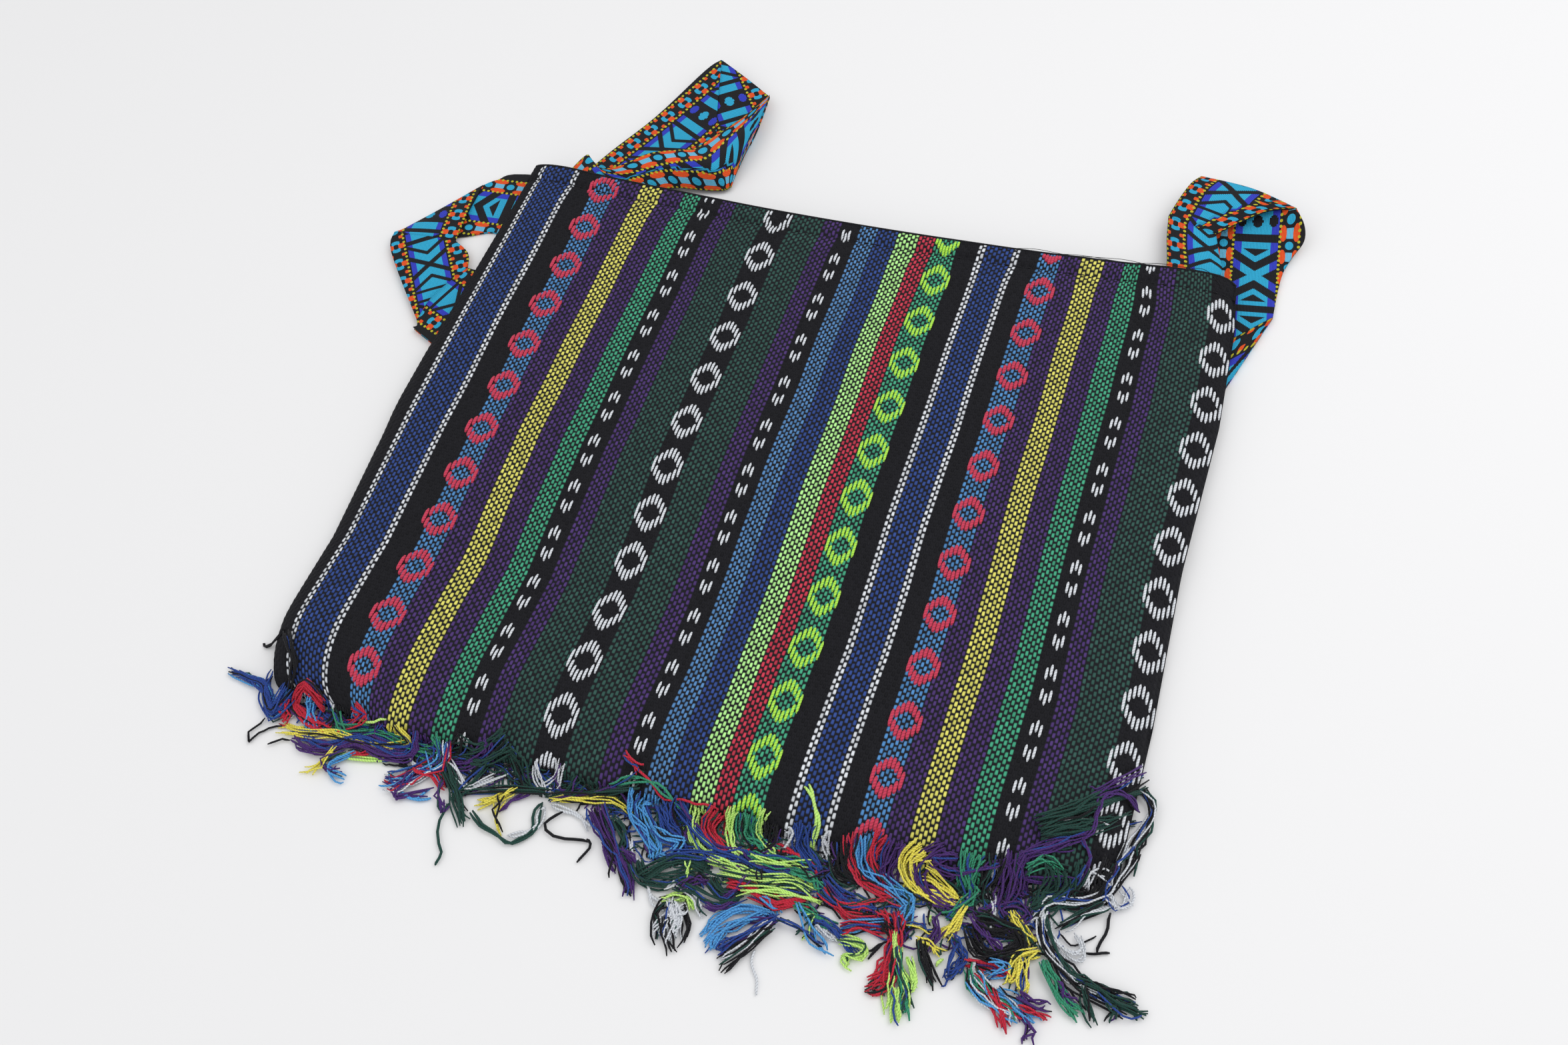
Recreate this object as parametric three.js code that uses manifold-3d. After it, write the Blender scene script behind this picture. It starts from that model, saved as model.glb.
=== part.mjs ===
// Woven cotton shoulder bag lying flat: two striped cloth panels sewn at the sides and foot,
// a patterned ribbon strap folded under the upper half, and a knotted fringe along the foot.
// Millimetres, +Z up, +Y towards the mouth, the floor at z = 0.
import * as THREE from "three";
import Module from "manifold-3d";

const wasm = await Module();
wasm.setup();

// Driving dimensions of the cloth body
const MOUTH_WIDTH = 280;
const FOOT_WIDTH = 294;
const HEIGHT = 250;
const CLOTH = 1.1;
const SLACK = 6;
const SIDE_ROLL = 20;
const FOOT_ROLL = 28;
const CORNER_ROUND = 10;
const MOUTH_DIP = 5;
const HEM_DEPTH = 7;
const HEM_LAYER = 0.6;
const STITCH_DIP = 0.35;
const STITCH_WIDTH = 1.4;
const RING_PITCH = 20.3;
const RING_BAND = 2.8;
const MARK_LENGTH = 4.6;
const FLOAT_RELIEF = 0.5;

// Driving dimensions of the strap and the fringe
const STRAP_WIDTH = 32;
const STRAP_THICK = 1;
const FRINGE_COUNT = 15;
const FRINGE_ROOT = 7;
const FRINGE_KNOT = 9;
const FRINGE_TIP = 11;
const FRINGE_HEIGHT = 6;

// Clearance between pieces that touch
const GAP = 0.3;

// The strap crosses under the bag at this distance below the mouth, and lifts the cloth from there to the mouth
const CROSSING = 103;
const RAMP_LENGTH = 22;

// Sizes that follow from those above
const LAYER = STRAP_THICK + GAP;
const STRAP_LIFT = 2 * LAYER;
const RAMP_END = HEIGHT - CROSSING - 0.55 * STRAP_WIDTH;

const material = (color, roughness) => new THREE.MeshStandardMaterial({ color, roughness, metalness: 0 });
const CLOTH_LOOK = new THREE.MeshStandardMaterial({ vertexColors: true, roughness: 0.95, metalness: 0 });
const STRAP_LOOK = material(0x2f9fc4, 0.6);
const FRINGE_LOOKS = [0x2a3f86, 0xc22f48, 0x1f7a52, 0x4a2c72, 0x1f4a3c, 0xd3c83c, 0x4a2c72, 0x15151a,
  0x3f86c4, 0xa4dc58, 0x3f66a8, 0xc22f48, 0xd3c83c, 0x18181c, 0xd8d8dc].map((color) => material(color, 0.9));

// Colours of the warp
const [BLACK, WHITE, NAVY, BLUE, SKY, PURPLE, YELLOW, GREEN, PINE, LIME, RED, PINK, ACID] = [
  0x19191c, 0xeceef0, 0x233778, 0x3b6f9e, 0x3c7dbe, 0x46286e, 0xd7cd3c, 0x289664, 0x234b3c, 0xa5e65a,
  0xbe283c, 0xdc3c5a, 0xbeff3c,
].map((color) => new THREE.Color(color));

// Stripes of the cloth from left to right. Rings and marks are floats woven over the ground colour.
const STRIPES = [
  { width: 3.9, ground: BLACK },
  { width: 3.2, ground: WHITE },
  { width: 11.4, ground: NAVY },
  { width: 3.2, ground: WHITE },
  { width: 8.9, ground: BLACK },
  { width: 9.9, ground: BLUE, rings: PINK, long: 12.6, first: 9.3 },
  { width: 8.6, ground: PURPLE },
  { width: 8.5, ground: YELLOW },
  { width: 8.7, ground: PURPLE },
  { width: 8.6, ground: GREEN },
  { width: 8.5, ground: BLACK, marks: WHITE, first: 8.9 },
  { width: 6.9, ground: PURPLE },
  { width: 13.4, ground: PINE },
  { width: 10.2, ground: BLACK, rings: WHITE, long: 14.2, first: 8.9 },
  { width: 13.4, ground: PINE },
  { width: 6.9, ground: PURPLE },
  { width: 8.1, ground: BLACK, marks: WHITE, first: 8.9 },
  { width: 8.2, ground: SKY },
  { width: 8.1, ground: NAVY },
  { width: 7.8, ground: LIME },
  { width: 7.8, ground: RED },
  { width: 9.4, ground: GREEN, rings: ACID, long: 14.2, first: 25.9 },
  { width: 7.5, ground: BLACK },
  { width: 2.8, ground: WHITE },
  { width: 9.3, ground: NAVY },
  { width: 2.5, ground: WHITE },
  { width: 7.6, ground: BLACK },
  { width: 9.5, ground: BLUE, rings: PINK, long: 12.6, first: 22.9 },
  { width: 7.4, ground: PURPLE },
  { width: 8, ground: YELLOW },
  { width: 7.5, ground: PURPLE },
  { width: 7.9, ground: GREEN },
  { width: 7.7, ground: BLACK, marks: WHITE, first: 8.9 },
  { width: 6.3, ground: PURPLE },
  { width: 14.1, ground: PINE },
  { width: 10.2, ground: BLACK, rings: WHITE, long: 14.2, first: 19.2 },
];
const STRIPES_WIDTH = STRIPES.reduce((sum, { width }) => sum + width, 0);

// Edges of the stripes as shares of the half width of the bag
const STRIPE_EDGES = [-1];
for (const { width } of STRIPES) STRIPE_EDGES.push(STRIPE_EDGES.at(-1) + (2 * width) / STRIPES_WIDTH);

const smoothStep = (from, to, value) => THREE.MathUtils.smoothstep(value, from, to);

// Quarter round that rises from 0 at an edge to 1 at the end of the roll
function roll(distance, length) {
  const short = Math.max(0, 1 - distance / length);
  return Math.sqrt(1 - short * short);
}

// Half width of the bag on one side (-1 left, 1 right) at a distance above the foot
function halfWidth(side, above) {
  const plain = THREE.MathUtils.lerp(FOOT_WIDTH, MOUTH_WIDTH, above / HEIGHT) / 2;
  if (side > 0) return plain;
  return plain - CORNER_ROUND * (1 - roll(above, 2 * CORNER_ROUND));
}

// Plan position of a point of the cloth: u runs from -1 to 1 across, above is the distance from the foot
function plan(u, above) {
  const dip = MOUTH_DIP * (1 - u * u) * smoothStep(HEIGHT / 2, HEIGHT, above);
  return [u * halfWidth(Math.sign(u), above), above - HEIGHT / 2 - dip];
}

// The back rests on the floor at the foot and on the folded strap near the mouth
const restHeight = (above) => STRAP_LIFT * smoothStep(RAMP_END - RAMP_LENGTH, RAMP_END, above);

// Rise of the cloth from 0 at a side seam to 1 at the end of its roll
const sideRise = (u, above) => roll((1 - Math.abs(u)) * halfWidth(Math.sign(u), above), SIDE_ROLL);

// Clear height between the two panels, closed along the sides and the foot. The front lies level.
function hollow(u, above) {
  const open = SLACK + STRAP_LIFT - restHeight(above);
  return GAP + open * sideRise(u, above) * roll(above, FOOT_ROLL);
}

// The hem is turned to the inside of the bag, so each panel is thicker there
const hemLayer = (u, above) => (above >= HEIGHT - HEM_DEPTH ? HEM_LAYER * sideRise(u, above) : 0);

// The line of stitches pulls the outside of the hem in
function stitchDip(above) {
  const off = Math.abs(above - (HEIGHT - HEM_DEPTH));
  return STITCH_DIP * Math.max(0, 1 - off / STITCH_WIDTH);
}

const backOuter = (u, above) => restHeight(above) + stitchDip(above);
const backInner = (u, above) => restHeight(above) + CLOTH + hemLayer(u, above);
const frontInner = (u, above) => restHeight(above) + CLOTH + hollow(u, above) - hemLayer(u, above);
const frontOuter = (u, above) => restHeight(above) + 2 * CLOTH + hollow(u, above) - stitchDip(above);

// Values in rising order, each at least the given step above the last that was kept
function spread(values, step) {
  const kept = [];
  for (const value of [...values].sort((a, b) => a - b))
    if (kept.length === 0 || value - kept.at(-1) >= step) kept.push(value);
  return kept;
}

// Distances above the foot at which the cloth has a row of points
function clothRows() {
  const hem = HEIGHT - HEM_DEPTH;
  const foot = [0, 0.03, 0.12, 0.3, 0.6, 1].map((share) => share * FOOT_ROLL);
  const ramp = [1, 0.5, 0].map((share) => RAMP_END - share * RAMP_LENGTH);
  const body = [(RAMP_END + hem) / 2];
  const mouth = [hem - STITCH_WIDTH, hem - 0.05, hem, hem + STITCH_WIDTH, HEIGHT];
  return spread([...foot, ...ramp, ...body, ...mouth], 0.04);
}

// Shares of the half width at which the cloth has a column of points: the stripes and the rolled edges
function clothColumns() {
  const edge = [0.03, 0.1].map((share) => 1 - (share * SIDE_ROLL) / (MOUTH_WIDTH / 2));
  return spread([...STRIPE_EDGES.slice(0, -1), ...edge, ...edge.map((u) => -u), 1], 0.001);
}

// A closed sheet between two height functions over the same rows and columns
function sheetGeometry(columns, rows, under, over) {
  const positions = [];
  for (const height of [over, under])
    for (const above of rows)
      for (const u of columns) positions.push(...plan(u, above), height(u, above));
  const wide = columns.length;
  const layer = wide * rows.length;
  const index = [];
  const quad = (a, b, c, d) => index.push(a, b, c, a, c, d);
  for (let row = 0; row + 1 < rows.length; row++)
    for (let col = 0; col + 1 < wide; col++) {
      const corner = row * wide + col;
      quad(corner, corner + 1, corner + 1 + wide, corner + wide);
      quad(layer + corner, layer + corner + wide, layer + corner + 1 + wide, layer + corner + 1);
    }
  const wall = (a, b) => quad(a, b, b + layer, a + layer);
  for (let col = 0; col + 1 < wide; col++) {
    wall(col + 1, col);
    wall(layer - wide + col, layer - wide + col + 1);
  }
  for (let row = 0; row + 1 < rows.length; row++) {
    wall(row * wide, (row + 1) * wide);
    wall((row + 2) * wide - 1, (row + 1) * wide - 1);
  }
  return indexed(positions, index);
}

function indexed(positions, index) {
  const geometry = new THREE.BufferGeometry();
  geometry.setAttribute("position", new THREE.Float32BufferAttribute(positions, 3));
  geometry.setIndex(index);
  geometry.computeVertexNormals();
  return geometry;
}

// A closed tube through rings of points, each ring with the same number of points. A looped tube has no ends.
function loftGeometry(rings, looped = false) {
  const count = rings[0].length;
  const positions = rings.flat().flatMap((point) => point.toArray());
  const index = [];
  const spans = looped ? rings.length : rings.length - 1;
  for (let ring = 0; ring < spans; ring++)
    for (let side = 0; side < count; side++) {
      const next = ((ring + 1) % rings.length) * count;
      const other = (side + 1) % count;
      index.push(ring * count + side, ring * count + other, next + other);
      index.push(ring * count + side, next + other, next + side);
    }
  if (looped) return indexed(positions, index);
  const last = (rings.length - 1) * count;
  for (let side = 1; side + 1 < count; side++) {
    index.push(0, side + 1, side);
    index.push(last, last + side, last + side + 1);
  }
  return indexed(positions, index);
}

const solidOf = (geometry) => new wasm.Manifold(new wasm.Mesh({
  numProp: 3,
  vertProperties: geometry.getAttribute("position").array,
  triVerts: Uint32Array.from(geometry.getIndex().array),
}));

// A point of the front at a place across and above the foot, raised over the cloth or sunk into it
function frontPoint(u, above, lift) {
  return new THREE.Vector3(...plan(u, above), frontOuter(u, above) + lift);
}

// A closed band round a centre: the outline gives the two edges of the band in millimetres at each step
function bandGeometry(u, above, outline) {
  const rings = outline.map(([inner, outer]) => [inner, inner, outer, outer].map(([x, y], corner) => {
    const lift = corner === 1 || corner === 2 ? FLOAT_RELIEF : -0.7 * CLOTH;
    return frontPoint(u + (2 * x) / STRIPES_WIDTH, above + y, lift);
  }));
  return loftGeometry(rings, true);
}

const RING_STEPS = 6;
function ringGeometry(u, above, width, long) {
  const outline = Array.from({ length: RING_STEPS }, (_, i) => {
    const angle = (2 * Math.PI * (i + 0.5)) / RING_STEPS;
    const oval = (inset) => [(width / 2 - inset) * Math.cos(angle), (long / 2 - inset) * Math.sin(angle)];
    return [oval(RING_BAND), oval(0)];
  });
  return bandGeometry(u, above, outline);
}

// A mark is three short floats side by side, made as one raised patch
function markGeometry(u, above, width) {
  const corner = (x, y, lift) => frontPoint(u + (x * width) / STRIPES_WIDTH, above + (y * MARK_LENGTH) / 2, lift);
  const ends = [-1, 1].map((y) => [
    corner(-1, y, -0.7 * CLOTH), corner(-1, y, FLOAT_RELIEF), corner(1, y, FLOAT_RELIEF), corner(1, y, -0.7 * CLOTH),
  ]);
  return loftGeometry(ends);
}

// Distances above the foot of the rings or pairs of marks of a stripe, the first measured down from the mouth
function motifHeights({ first, long = MARK_LENGTH }) {
  const count = Math.floor((HEIGHT - first - long) / RING_PITCH) + 1;
  return Array.from({ length: count }, (_, i) => HEIGHT - first - i * RING_PITCH).filter((above) => above > long);
}

// The floats of the front as pairs of a solid and its colour
function frontFloats() {
  return STRIPES.flatMap((stripe, i) => {
    const { width, rings, marks, long } = stripe;
    const u = (STRIPE_EDGES[i] + STRIPE_EDGES[i + 1]) / 2;
    if (rings) return motifHeights(stripe).map((above) => [ringGeometry(u, above, width, long), rings]);
    if (!marks) return [];
    return motifHeights(stripe).flatMap((above) => [-0.21, 0.21].map((step) =>
      [markGeometry(u, above + step * RING_PITCH, width / 2), marks]));
  }).map(([geometry, colour]) => [solidOf(geometry), colour]);
}

// Colours each face: a float by its own colour, the cloth by the stripe under the middle of the face
function paint(solid, stripes, floatColours) {
  const { vertProperties, triVerts, runIndex, runOriginalID } = solid.getMesh();
  const geometry = indexed([...vertProperties], [...triVerts]).toNonIndexed();
  const place = geometry.getAttribute("position");
  const colours = [];
  for (let run = 0; run < runOriginalID.length; run++)
    for (let at = runIndex[run]; at < runIndex[run + 1]; at += 3) {
      const x = (place.getX(at) + place.getX(at + 1) + place.getX(at + 2)) / 3;
      const y = (place.getY(at) + place.getY(at + 1) + place.getY(at + 2)) / 3;
      const u = x / halfWidth(Math.sign(x), y + HEIGHT / 2);
      const stripe = STRIPE_EDGES.findIndex((edge, i) => i === STRIPES.length - 1 || u < STRIPE_EDGES[i + 1]);
      const colour = floatColours.get(runOriginalID[run]) ?? stripes[stripe].ground;
      for (let corner = 0; corner < 3; corner++) colours.push(colour.r, colour.g, colour.b);
    }
  return geometry.setAttribute("color", new THREE.Float32BufferAttribute(colours, 3));
}

function frontGeometry() {
  const cloth = solidOf(sheetGeometry(clothColumns(), clothRows(), frontInner, frontOuter));
  const floats = frontFloats();
  const colours = new Map(floats.map(([solid, colour]) => [solid.originalID(), colour]));
  return paint(wasm.Manifold.union([cloth, ...floats.map(([solid]) => solid)]), STRIPES, colours);
}

// The back is cut from the same cloth, turned round
function backGeometry() {
  const cloth = solidOf(sheetGeometry(clothColumns(), clothRows(), backOuter, backInner));
  return paint(cloth, STRIPES.toReversed(), new Map());
}

// Heights of the strap's middle surface: on the floor, on another run of the strap, and inside the mouth
const ON_FLOOR = STRAP_THICK / 2;
const ON_STRAP = ON_FLOOR + LAYER;
const IN_MOUTH = STRAP_LIFT + CLOTH + HEM_LAYER + GAP + STRAP_THICK / 2;
const FOLD_STEPS = 4;

// Route of the strap from its left sewn end to its right one. Each place is measured from a corner of the
// mouth (-1 left, 1 right). turn is the plan angle, in degrees, from the strap's left edge to its right edge.
// At a fold the strap turns over a crease at that angle and goes on at the height to. reach is the length of the
// line across in strap widths: one, or at a fold the slant of the crease, unless it is given.
const STRAP_ROUTE = [
  { from: -1, at: [25, -11], turn: -62, z: IN_MOUTH },
  { from: -1, at: [45, 4], turn: -54, z: IN_MOUTH },
  { from: -1, at: [59, 20], turn: -38, z: IN_MOUTH },
  { from: -1, at: [66, 42], turn: -20, z: IN_MOUTH },
  { from: -1, at: [67, 66], turn: -18, z: IN_MOUTH, to: ON_STRAP },
  { from: -1, at: [25, -14], turn: 42, z: ON_STRAP, to: ON_FLOOR },
  { from: -1, at: [-10, -17], turn: 106, z: ON_FLOOR },
  { from: -1, at: [-38, -26], turn: 52, z: ON_FLOOR, to: ON_STRAP, reach: 1.35 },
  { from: -1, at: [-37, -46], turn: 16, z: ON_STRAP, reach: 0.85 },
  { from: -1, at: [-31, -52], turn: 22, z: ON_STRAP },
  { from: -1, at: [-18, -65], turn: 36, z: ON_STRAP },
  { from: -1, at: [11, -CROSSING], turn: -26, z: ON_STRAP, to: ON_FLOOR },
  { from: 1, at: [-49, -CROSSING], turn: -156.6, z: ON_FLOOR, to: ON_STRAP },
  { from: 1, at: [7, -43], turn: -286.7, z: ON_STRAP, to: ON_FLOOR },
  { from: 1, at: [-1, 43], turn: -376, z: ON_FLOOR, to: IN_MOUTH },
  { from: 1, at: [-13, 24], turn: -390, z: IN_MOUTH },
  { from: 1, at: [-16, 6], turn: -372, z: IN_MOUTH, reach: 0.8 },
  { from: 1, at: [-18, -13], turn: -360, z: IN_MOUTH, reach: 0.75 },
];

const compass = (degrees) => {
  const angle = THREE.MathUtils.degToRad(degrees);
  return new THREE.Vector3(Math.cos(angle), Math.sin(angle), 0);
};
const strapPlace = ({ from, at, z }) =>
  new THREE.Vector3((from * MOUTH_WIDTH) / 2 + at[0], HEIGHT / 2 + at[1], z);

// Corners of the strap's section: its edges on both faces
function strapRing(centre, across, ahead) {
  const half = new THREE.Vector3().crossVectors(across, ahead).setLength(STRAP_THICK / 2);
  const left = centre.clone().sub(across);
  const right = centre.clone().add(across);
  return [left.clone().sub(half), left.add(half), right.clone().add(half), right.sub(half)];
}

// Sections round a fold, from the run that arrives to the run that leaves above or below it
function foldRings(stop, across, arriving) {
  const outward = new THREE.Vector3(-across.y, across.x, 0).normalize();
  if (outward.dot(arriving) < 0) outward.negate();
  const rise = stop.to - stop.z;
  return Array.from({ length: FOLD_STEPS + 1 }, (_, step) => {
    const angle = (Math.PI * step) / FOLD_STEPS;
    const centre = strapPlace(stop).addScaledVector(outward, (Math.abs(rise) / 2) * Math.sin(angle));
    centre.z += (rise / 2) * (1 - Math.cos(angle));
    const ahead = outward.clone().multiplyScalar(Math.cos(angle));
    ahead.z = Math.sign(rise) * Math.sin(angle);
    return strapRing(centre, across, ahead);
  });
}

function strapGeometry() {
  const places = STRAP_ROUTE.map(strapPlace);
  const rings = STRAP_ROUTE.flatMap((stop, i) => {
    const before = places[Math.max(0, i - 1)];
    const after = places[Math.min(places.length - 1, i + 1)];
    const line = compass(stop.turn);
    const half = (reach) => line.clone().multiplyScalar((reach * STRAP_WIDTH) / 2);
    if (stop.to === undefined) {
      const ahead = after.clone().sub(before).projectOnPlane(line);
      return [strapRing(places[i], half(stop.reach ?? 1), ahead)];
    }
    const arriving = places[i].clone().sub(before).setZ(0).normalize();
    const slant = 1 / arriving.clone().cross(line).length();
    return foldRings(stop, half(stop.reach ?? slant), arriving);
  });
  return loftGeometry(rings);
}

// Sweep to the right and drop below the foot of each tassel's tip, from left to right
const FRINGE_TIPS = [
  [-18, 15], [-8, 16], [-8, 18], [-2, 23], [2, 26], [0, 22], [14, 33], [14, 43],
  [16, 48], [20, 28], [16, 35], [14, 46], [10, 32], [12, 42], [22, 28],
];

// Width and height of a tassel along its length: a flat root, a round knot, a neck and a spread tip
const FRINGE_SECTIONS = [
  { along: 0, width: FRINGE_ROOT, height: 2 * CLOTH },
  { along: 0.14, width: FRINGE_ROOT, height: 0.6 * FRINGE_HEIGHT },
  { along: 0.24, width: FRINGE_KNOT, height: FRINGE_HEIGHT },
  { along: 0.34, width: FRINGE_KNOT, height: FRINGE_HEIGHT },
  { along: 0.44, width: 0.6 * FRINGE_KNOT, height: 0.6 * FRINGE_HEIGHT },
  { along: 0.75, width: 0.85 * FRINGE_TIP, height: 0.7 * FRINGE_HEIGHT },
  { along: 1, width: FRINGE_TIP, height: 0.35 * FRINGE_HEIGHT },
];
const FRINGE_SIDES = 8;

// One tassel of warp ends, from the foot of the bag to its tip on the floor
function tasselGeometry(number) {
  const pitch = FOOT_WIDTH / FRINGE_COUNT;
  const [sweep, drop] = FRINGE_TIPS[number % FRINGE_TIPS.length];
  const root = new THREE.Vector2((number + 0.5) * pitch - FOOT_WIDTH / 2, -HEIGHT / 2 - GAP);
  const bend = root.clone().add(new THREE.Vector2(0, -drop / 2));
  const tip = root.clone().add(new THREE.Vector2(sweep, -drop));
  const spine = new THREE.QuadraticBezierCurve(root, bend, tip);
  const rings = FRINGE_SECTIONS.map(({ along, width, height }) => {
    const centre = spine.getPoint(along);
    const ahead = spine.getTangent(along);
    return Array.from({ length: FRINGE_SIDES }, (_, i) => {
      const angle = (2 * Math.PI * (i + 0.5)) / FRINGE_SIDES;
      const out = (Math.cos(angle) * width) / 2;
      const up = ((1 + Math.sin(angle) / Math.cos(Math.PI / FRINGE_SIDES)) * height) / 2;
      return new THREE.Vector3(centre.x - ahead.y * out, centre.y + ahead.x * out, up);
    });
  });
  return loftGeometry(rings);
}

const sub = (name, geometry, look) => {
  const mesh = new THREE.Mesh(geometry, look);
  mesh.name = name;
  return mesh;
};

const bag = new THREE.Group();
bag.add(sub("front_panel", frontGeometry(), CLOTH_LOOK));
bag.add(sub("back_panel", backGeometry(), CLOTH_LOOK));
bag.add(sub("strap", strapGeometry(), STRAP_LOOK));
for (let number = 0; number < FRINGE_COUNT; number++) {
  const name = "tassel_" + String(number + 1).padStart(2, "0");
  bag.add(sub(name, tasselGeometry(number), FRINGE_LOOKS[number % FRINGE_LOOKS.length]));
}

// The origin is the middle of the bottom of the whole
const box = new THREE.Box3().setFromObject(bag);
const middle = box.getCenter(new THREE.Vector3());
bag.position.set(-middle.x, -middle.y, -box.min.z);

export default bag;
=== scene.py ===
"""A woven shoulder bag lying flat on a pale floor: striped cloth, folded ribbon strap and yarn fringe."""

import math
import random

import bpy
from mathutils import Matrix, Vector, noise


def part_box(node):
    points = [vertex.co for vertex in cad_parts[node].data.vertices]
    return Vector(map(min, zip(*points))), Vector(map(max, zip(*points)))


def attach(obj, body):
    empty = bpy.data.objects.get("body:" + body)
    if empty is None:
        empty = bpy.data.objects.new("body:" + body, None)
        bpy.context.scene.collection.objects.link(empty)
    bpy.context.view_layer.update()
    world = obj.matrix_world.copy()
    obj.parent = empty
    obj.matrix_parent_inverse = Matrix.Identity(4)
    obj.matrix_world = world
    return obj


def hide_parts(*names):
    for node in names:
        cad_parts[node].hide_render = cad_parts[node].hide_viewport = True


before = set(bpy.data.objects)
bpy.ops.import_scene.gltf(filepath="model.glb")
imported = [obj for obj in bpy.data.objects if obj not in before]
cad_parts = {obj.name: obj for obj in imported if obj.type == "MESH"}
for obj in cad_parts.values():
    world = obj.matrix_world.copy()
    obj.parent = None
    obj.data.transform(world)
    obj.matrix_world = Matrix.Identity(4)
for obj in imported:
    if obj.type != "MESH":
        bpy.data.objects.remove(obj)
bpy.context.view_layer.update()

# Sizes in millimetres, and the number of picks
MM = 0.001
FOOT_WIDTH = 294
HEIGHT = 250
MOUTH_HALF = 140
HEM_DEPTH = 7
STRAP_WIDTH = 32
RING_PITCH = 20.3
PICK = 1.31
PICKS = 191
LEVEL = 10.55
STRAP_LIFT = 2.6
SEAM_THICKNESS = 1.4
SIDE_ROLL = 20
FOOT_ROLL = 28
MOUTH_DIP = 6.5
HEM_RADIUS = 0.65
RIBBON = 0.7

_, front_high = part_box("front_panel")
SHIFT = Vector((front_high.x / MM - FOOT_WIDTH / 2, front_high.y / MM - HEIGHT / 2, 0))

# Where the woven motifs lie: columns and heights counted in ring pitches from the fitted lattice
MIDDLE_COLUMN = 5.385
MIDDLE_ROW = 0.92


def lattice(column, row):
    return (column - MIDDLE_COLUMN) * RING_PITCH, (row - MIDDLE_ROW) * RING_PITCH


def metres(point):
    return (Vector(point) + SHIFT) * MM


def srgb(red, green, blue):
    def linear(value):
        value /= 255
        return value / 12.92 if value <= 0.04045 else ((value + 0.055) / 1.055) ** 2.4
    return (linear(red), linear(green), linear(blue), 1)


COLOURS = {
    "black": srgb(30, 30, 34),
    "white": srgb(222, 226, 232),
    "navy": srgb(56, 80, 146),
    "blue": srgb(84, 140, 196),
    "sky": srgb(90, 138, 190),
    "purple": srgb(81, 59, 117),
    "yellow": srgb(224, 219, 110),
    "green": srgb(72, 166, 130),
    "pine": srgb(56, 90, 83),
    "lime": srgb(184, 244, 152),
    "red": srgb(202, 64, 84),
    "pink": srgb(204, 66, 92),
    "acid": srgb(180, 236, 84),
    "turquoise": srgb(50, 172, 214),
    "royal": srgb(54, 66, 194),
    "orange": srgb(236, 88, 38),
    "dots": srgb(196, 190, 50),
    "pale": srgb(110, 190, 225),
}

# Loose yarn has stronger colours than the same yarn in the cloth; several are also painted lighter, as
# painted light that makes up for the shade the dense bunches cast on each other
FRINGE_COLOURS = {
    **COLOURS,
    "navy": srgb(49, 77, 154),
    "blue": srgb(84, 158, 220),
    "sky": srgb(90, 165, 226),
    "purple": srgb(81, 51, 118),
    "yellow": srgb(246, 234, 100),
    "green": srgb(62, 151, 117),
    "pine": srgb(40, 74, 67),
    "lime": srgb(205, 247, 134),
    "red": srgb(203, 48, 69),
}

# Stripes from left to right: warp colour, width and number of warp ends
STRIPES = [
    ("black", 6.9, 5), ("white", 2.5, 2), ("navy", 12.9, 9), ("white", 2.5, 2), ("black", 9.7, 7),
    ("blue", 8.8, 7), ("purple", 8.7, 6), ("yellow", 8.6, 6), ("purple", 8.9, 6), ("green", 8.0, 6),
    ("black", 8.7, 6), ("purple", 6.6, 5), ("pine", 13.7, 10), ("black", 10.9, 8), ("pine", 12.9, 9),
    ("purple", 7.1, 5), ("black", 8.6, 6), ("sky", 7.4, 6), ("navy", 8.2, 6), ("lime", 7.6, 6),
    ("red", 6.6, 5), ("green", 10.4, 8), ("black", 7.6, 6), ("white", 2.6, 2), ("navy", 9.6, 7),
    ("white", 2.6, 2), ("black", 7.1, 5), ("blue", 9.3, 7), ("purple", 7.9, 6), ("yellow", 7.9, 6),
    ("purple", 8.0, 6), ("green", 8.1, 6), ("black", 8.6, 6), ("purple", 6.6, 5), ("pine", 15.3, 11),
    ("black", 9.8, 7),
]
ENDS = sum(count for _, _, count in STRIPES)
HALF = sum(width for _, width, _ in STRIPES) / 2

# Columns of rings: lattice column, row of the first ring, colour, width and height in ring pitches, and
# how thick the floats are beside their spacing
RINGS = [
    (-0.054, 6.62, "pink", 0.593, 0.62, 0.47),
    (3.566, 6.64, "white", 0.56, 0.70, 0.34),
    (7.009, 6.80, "acid", 0.54, 0.70, 0.37),
    (8.946, 6.95, "pink", 0.535, 0.62, 0.47),
    (12.30, 6.18, "white", 0.56, 0.70, 0.34),
]
RING_COUNT = 13
MARKS = [(2.095, 6.63), (5.0, 6.69), (10.918, 7.13)]


def blend(start, end, value):
    """Climbs smoothly from 0 to 1 between two values."""
    share = min(1, max(0, (value - start) / (end - start)))
    return share * share * (3 - 2 * share)


def roll(distance, length):
    """Climbs from 0 to 1 over a length, as a quarter of a circle."""
    short = min(1, max(0, 1 - distance / length))
    return math.sqrt(1 - short * short)


def along(points, value):
    """Value of a broken line of (place, height) pairs."""
    for (a, low), (b, high) in zip(points, points[1:]):
        if value <= b:
            return low + (high - low) * max(0, value - a) / (b - a)
    return points[-1][1]


def wave(x, y, size, amount):
    return amount * noise.noise(Vector((x / size, y / size, 0.3)))


# Outline of the cloth: (place above the foot, place across) of both sides, how far the fold of the left side
# leans out and how far the stripes sway
LEFT_EDGE = [(0, -152), (30, -151.5), (65, -148.3), (120, -149.5), (185, -148.5), (250, -147)]
RIGHT_EDGE = [(0, 148.5), (125, 146), (185, 147), (230, 144.5), (250, 141)]
LEFT_FOLD = [(0, 0), (60, -1.2), (105, -1.8), (150, -1.2), (180, 0), (215, 1), (250, 1.7)]
SWAY = [(0, -0.8), (30, -0.5), (65, 2), (120, 0.2), (185, 1.2), (233, 2), (250, 3)]

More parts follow.
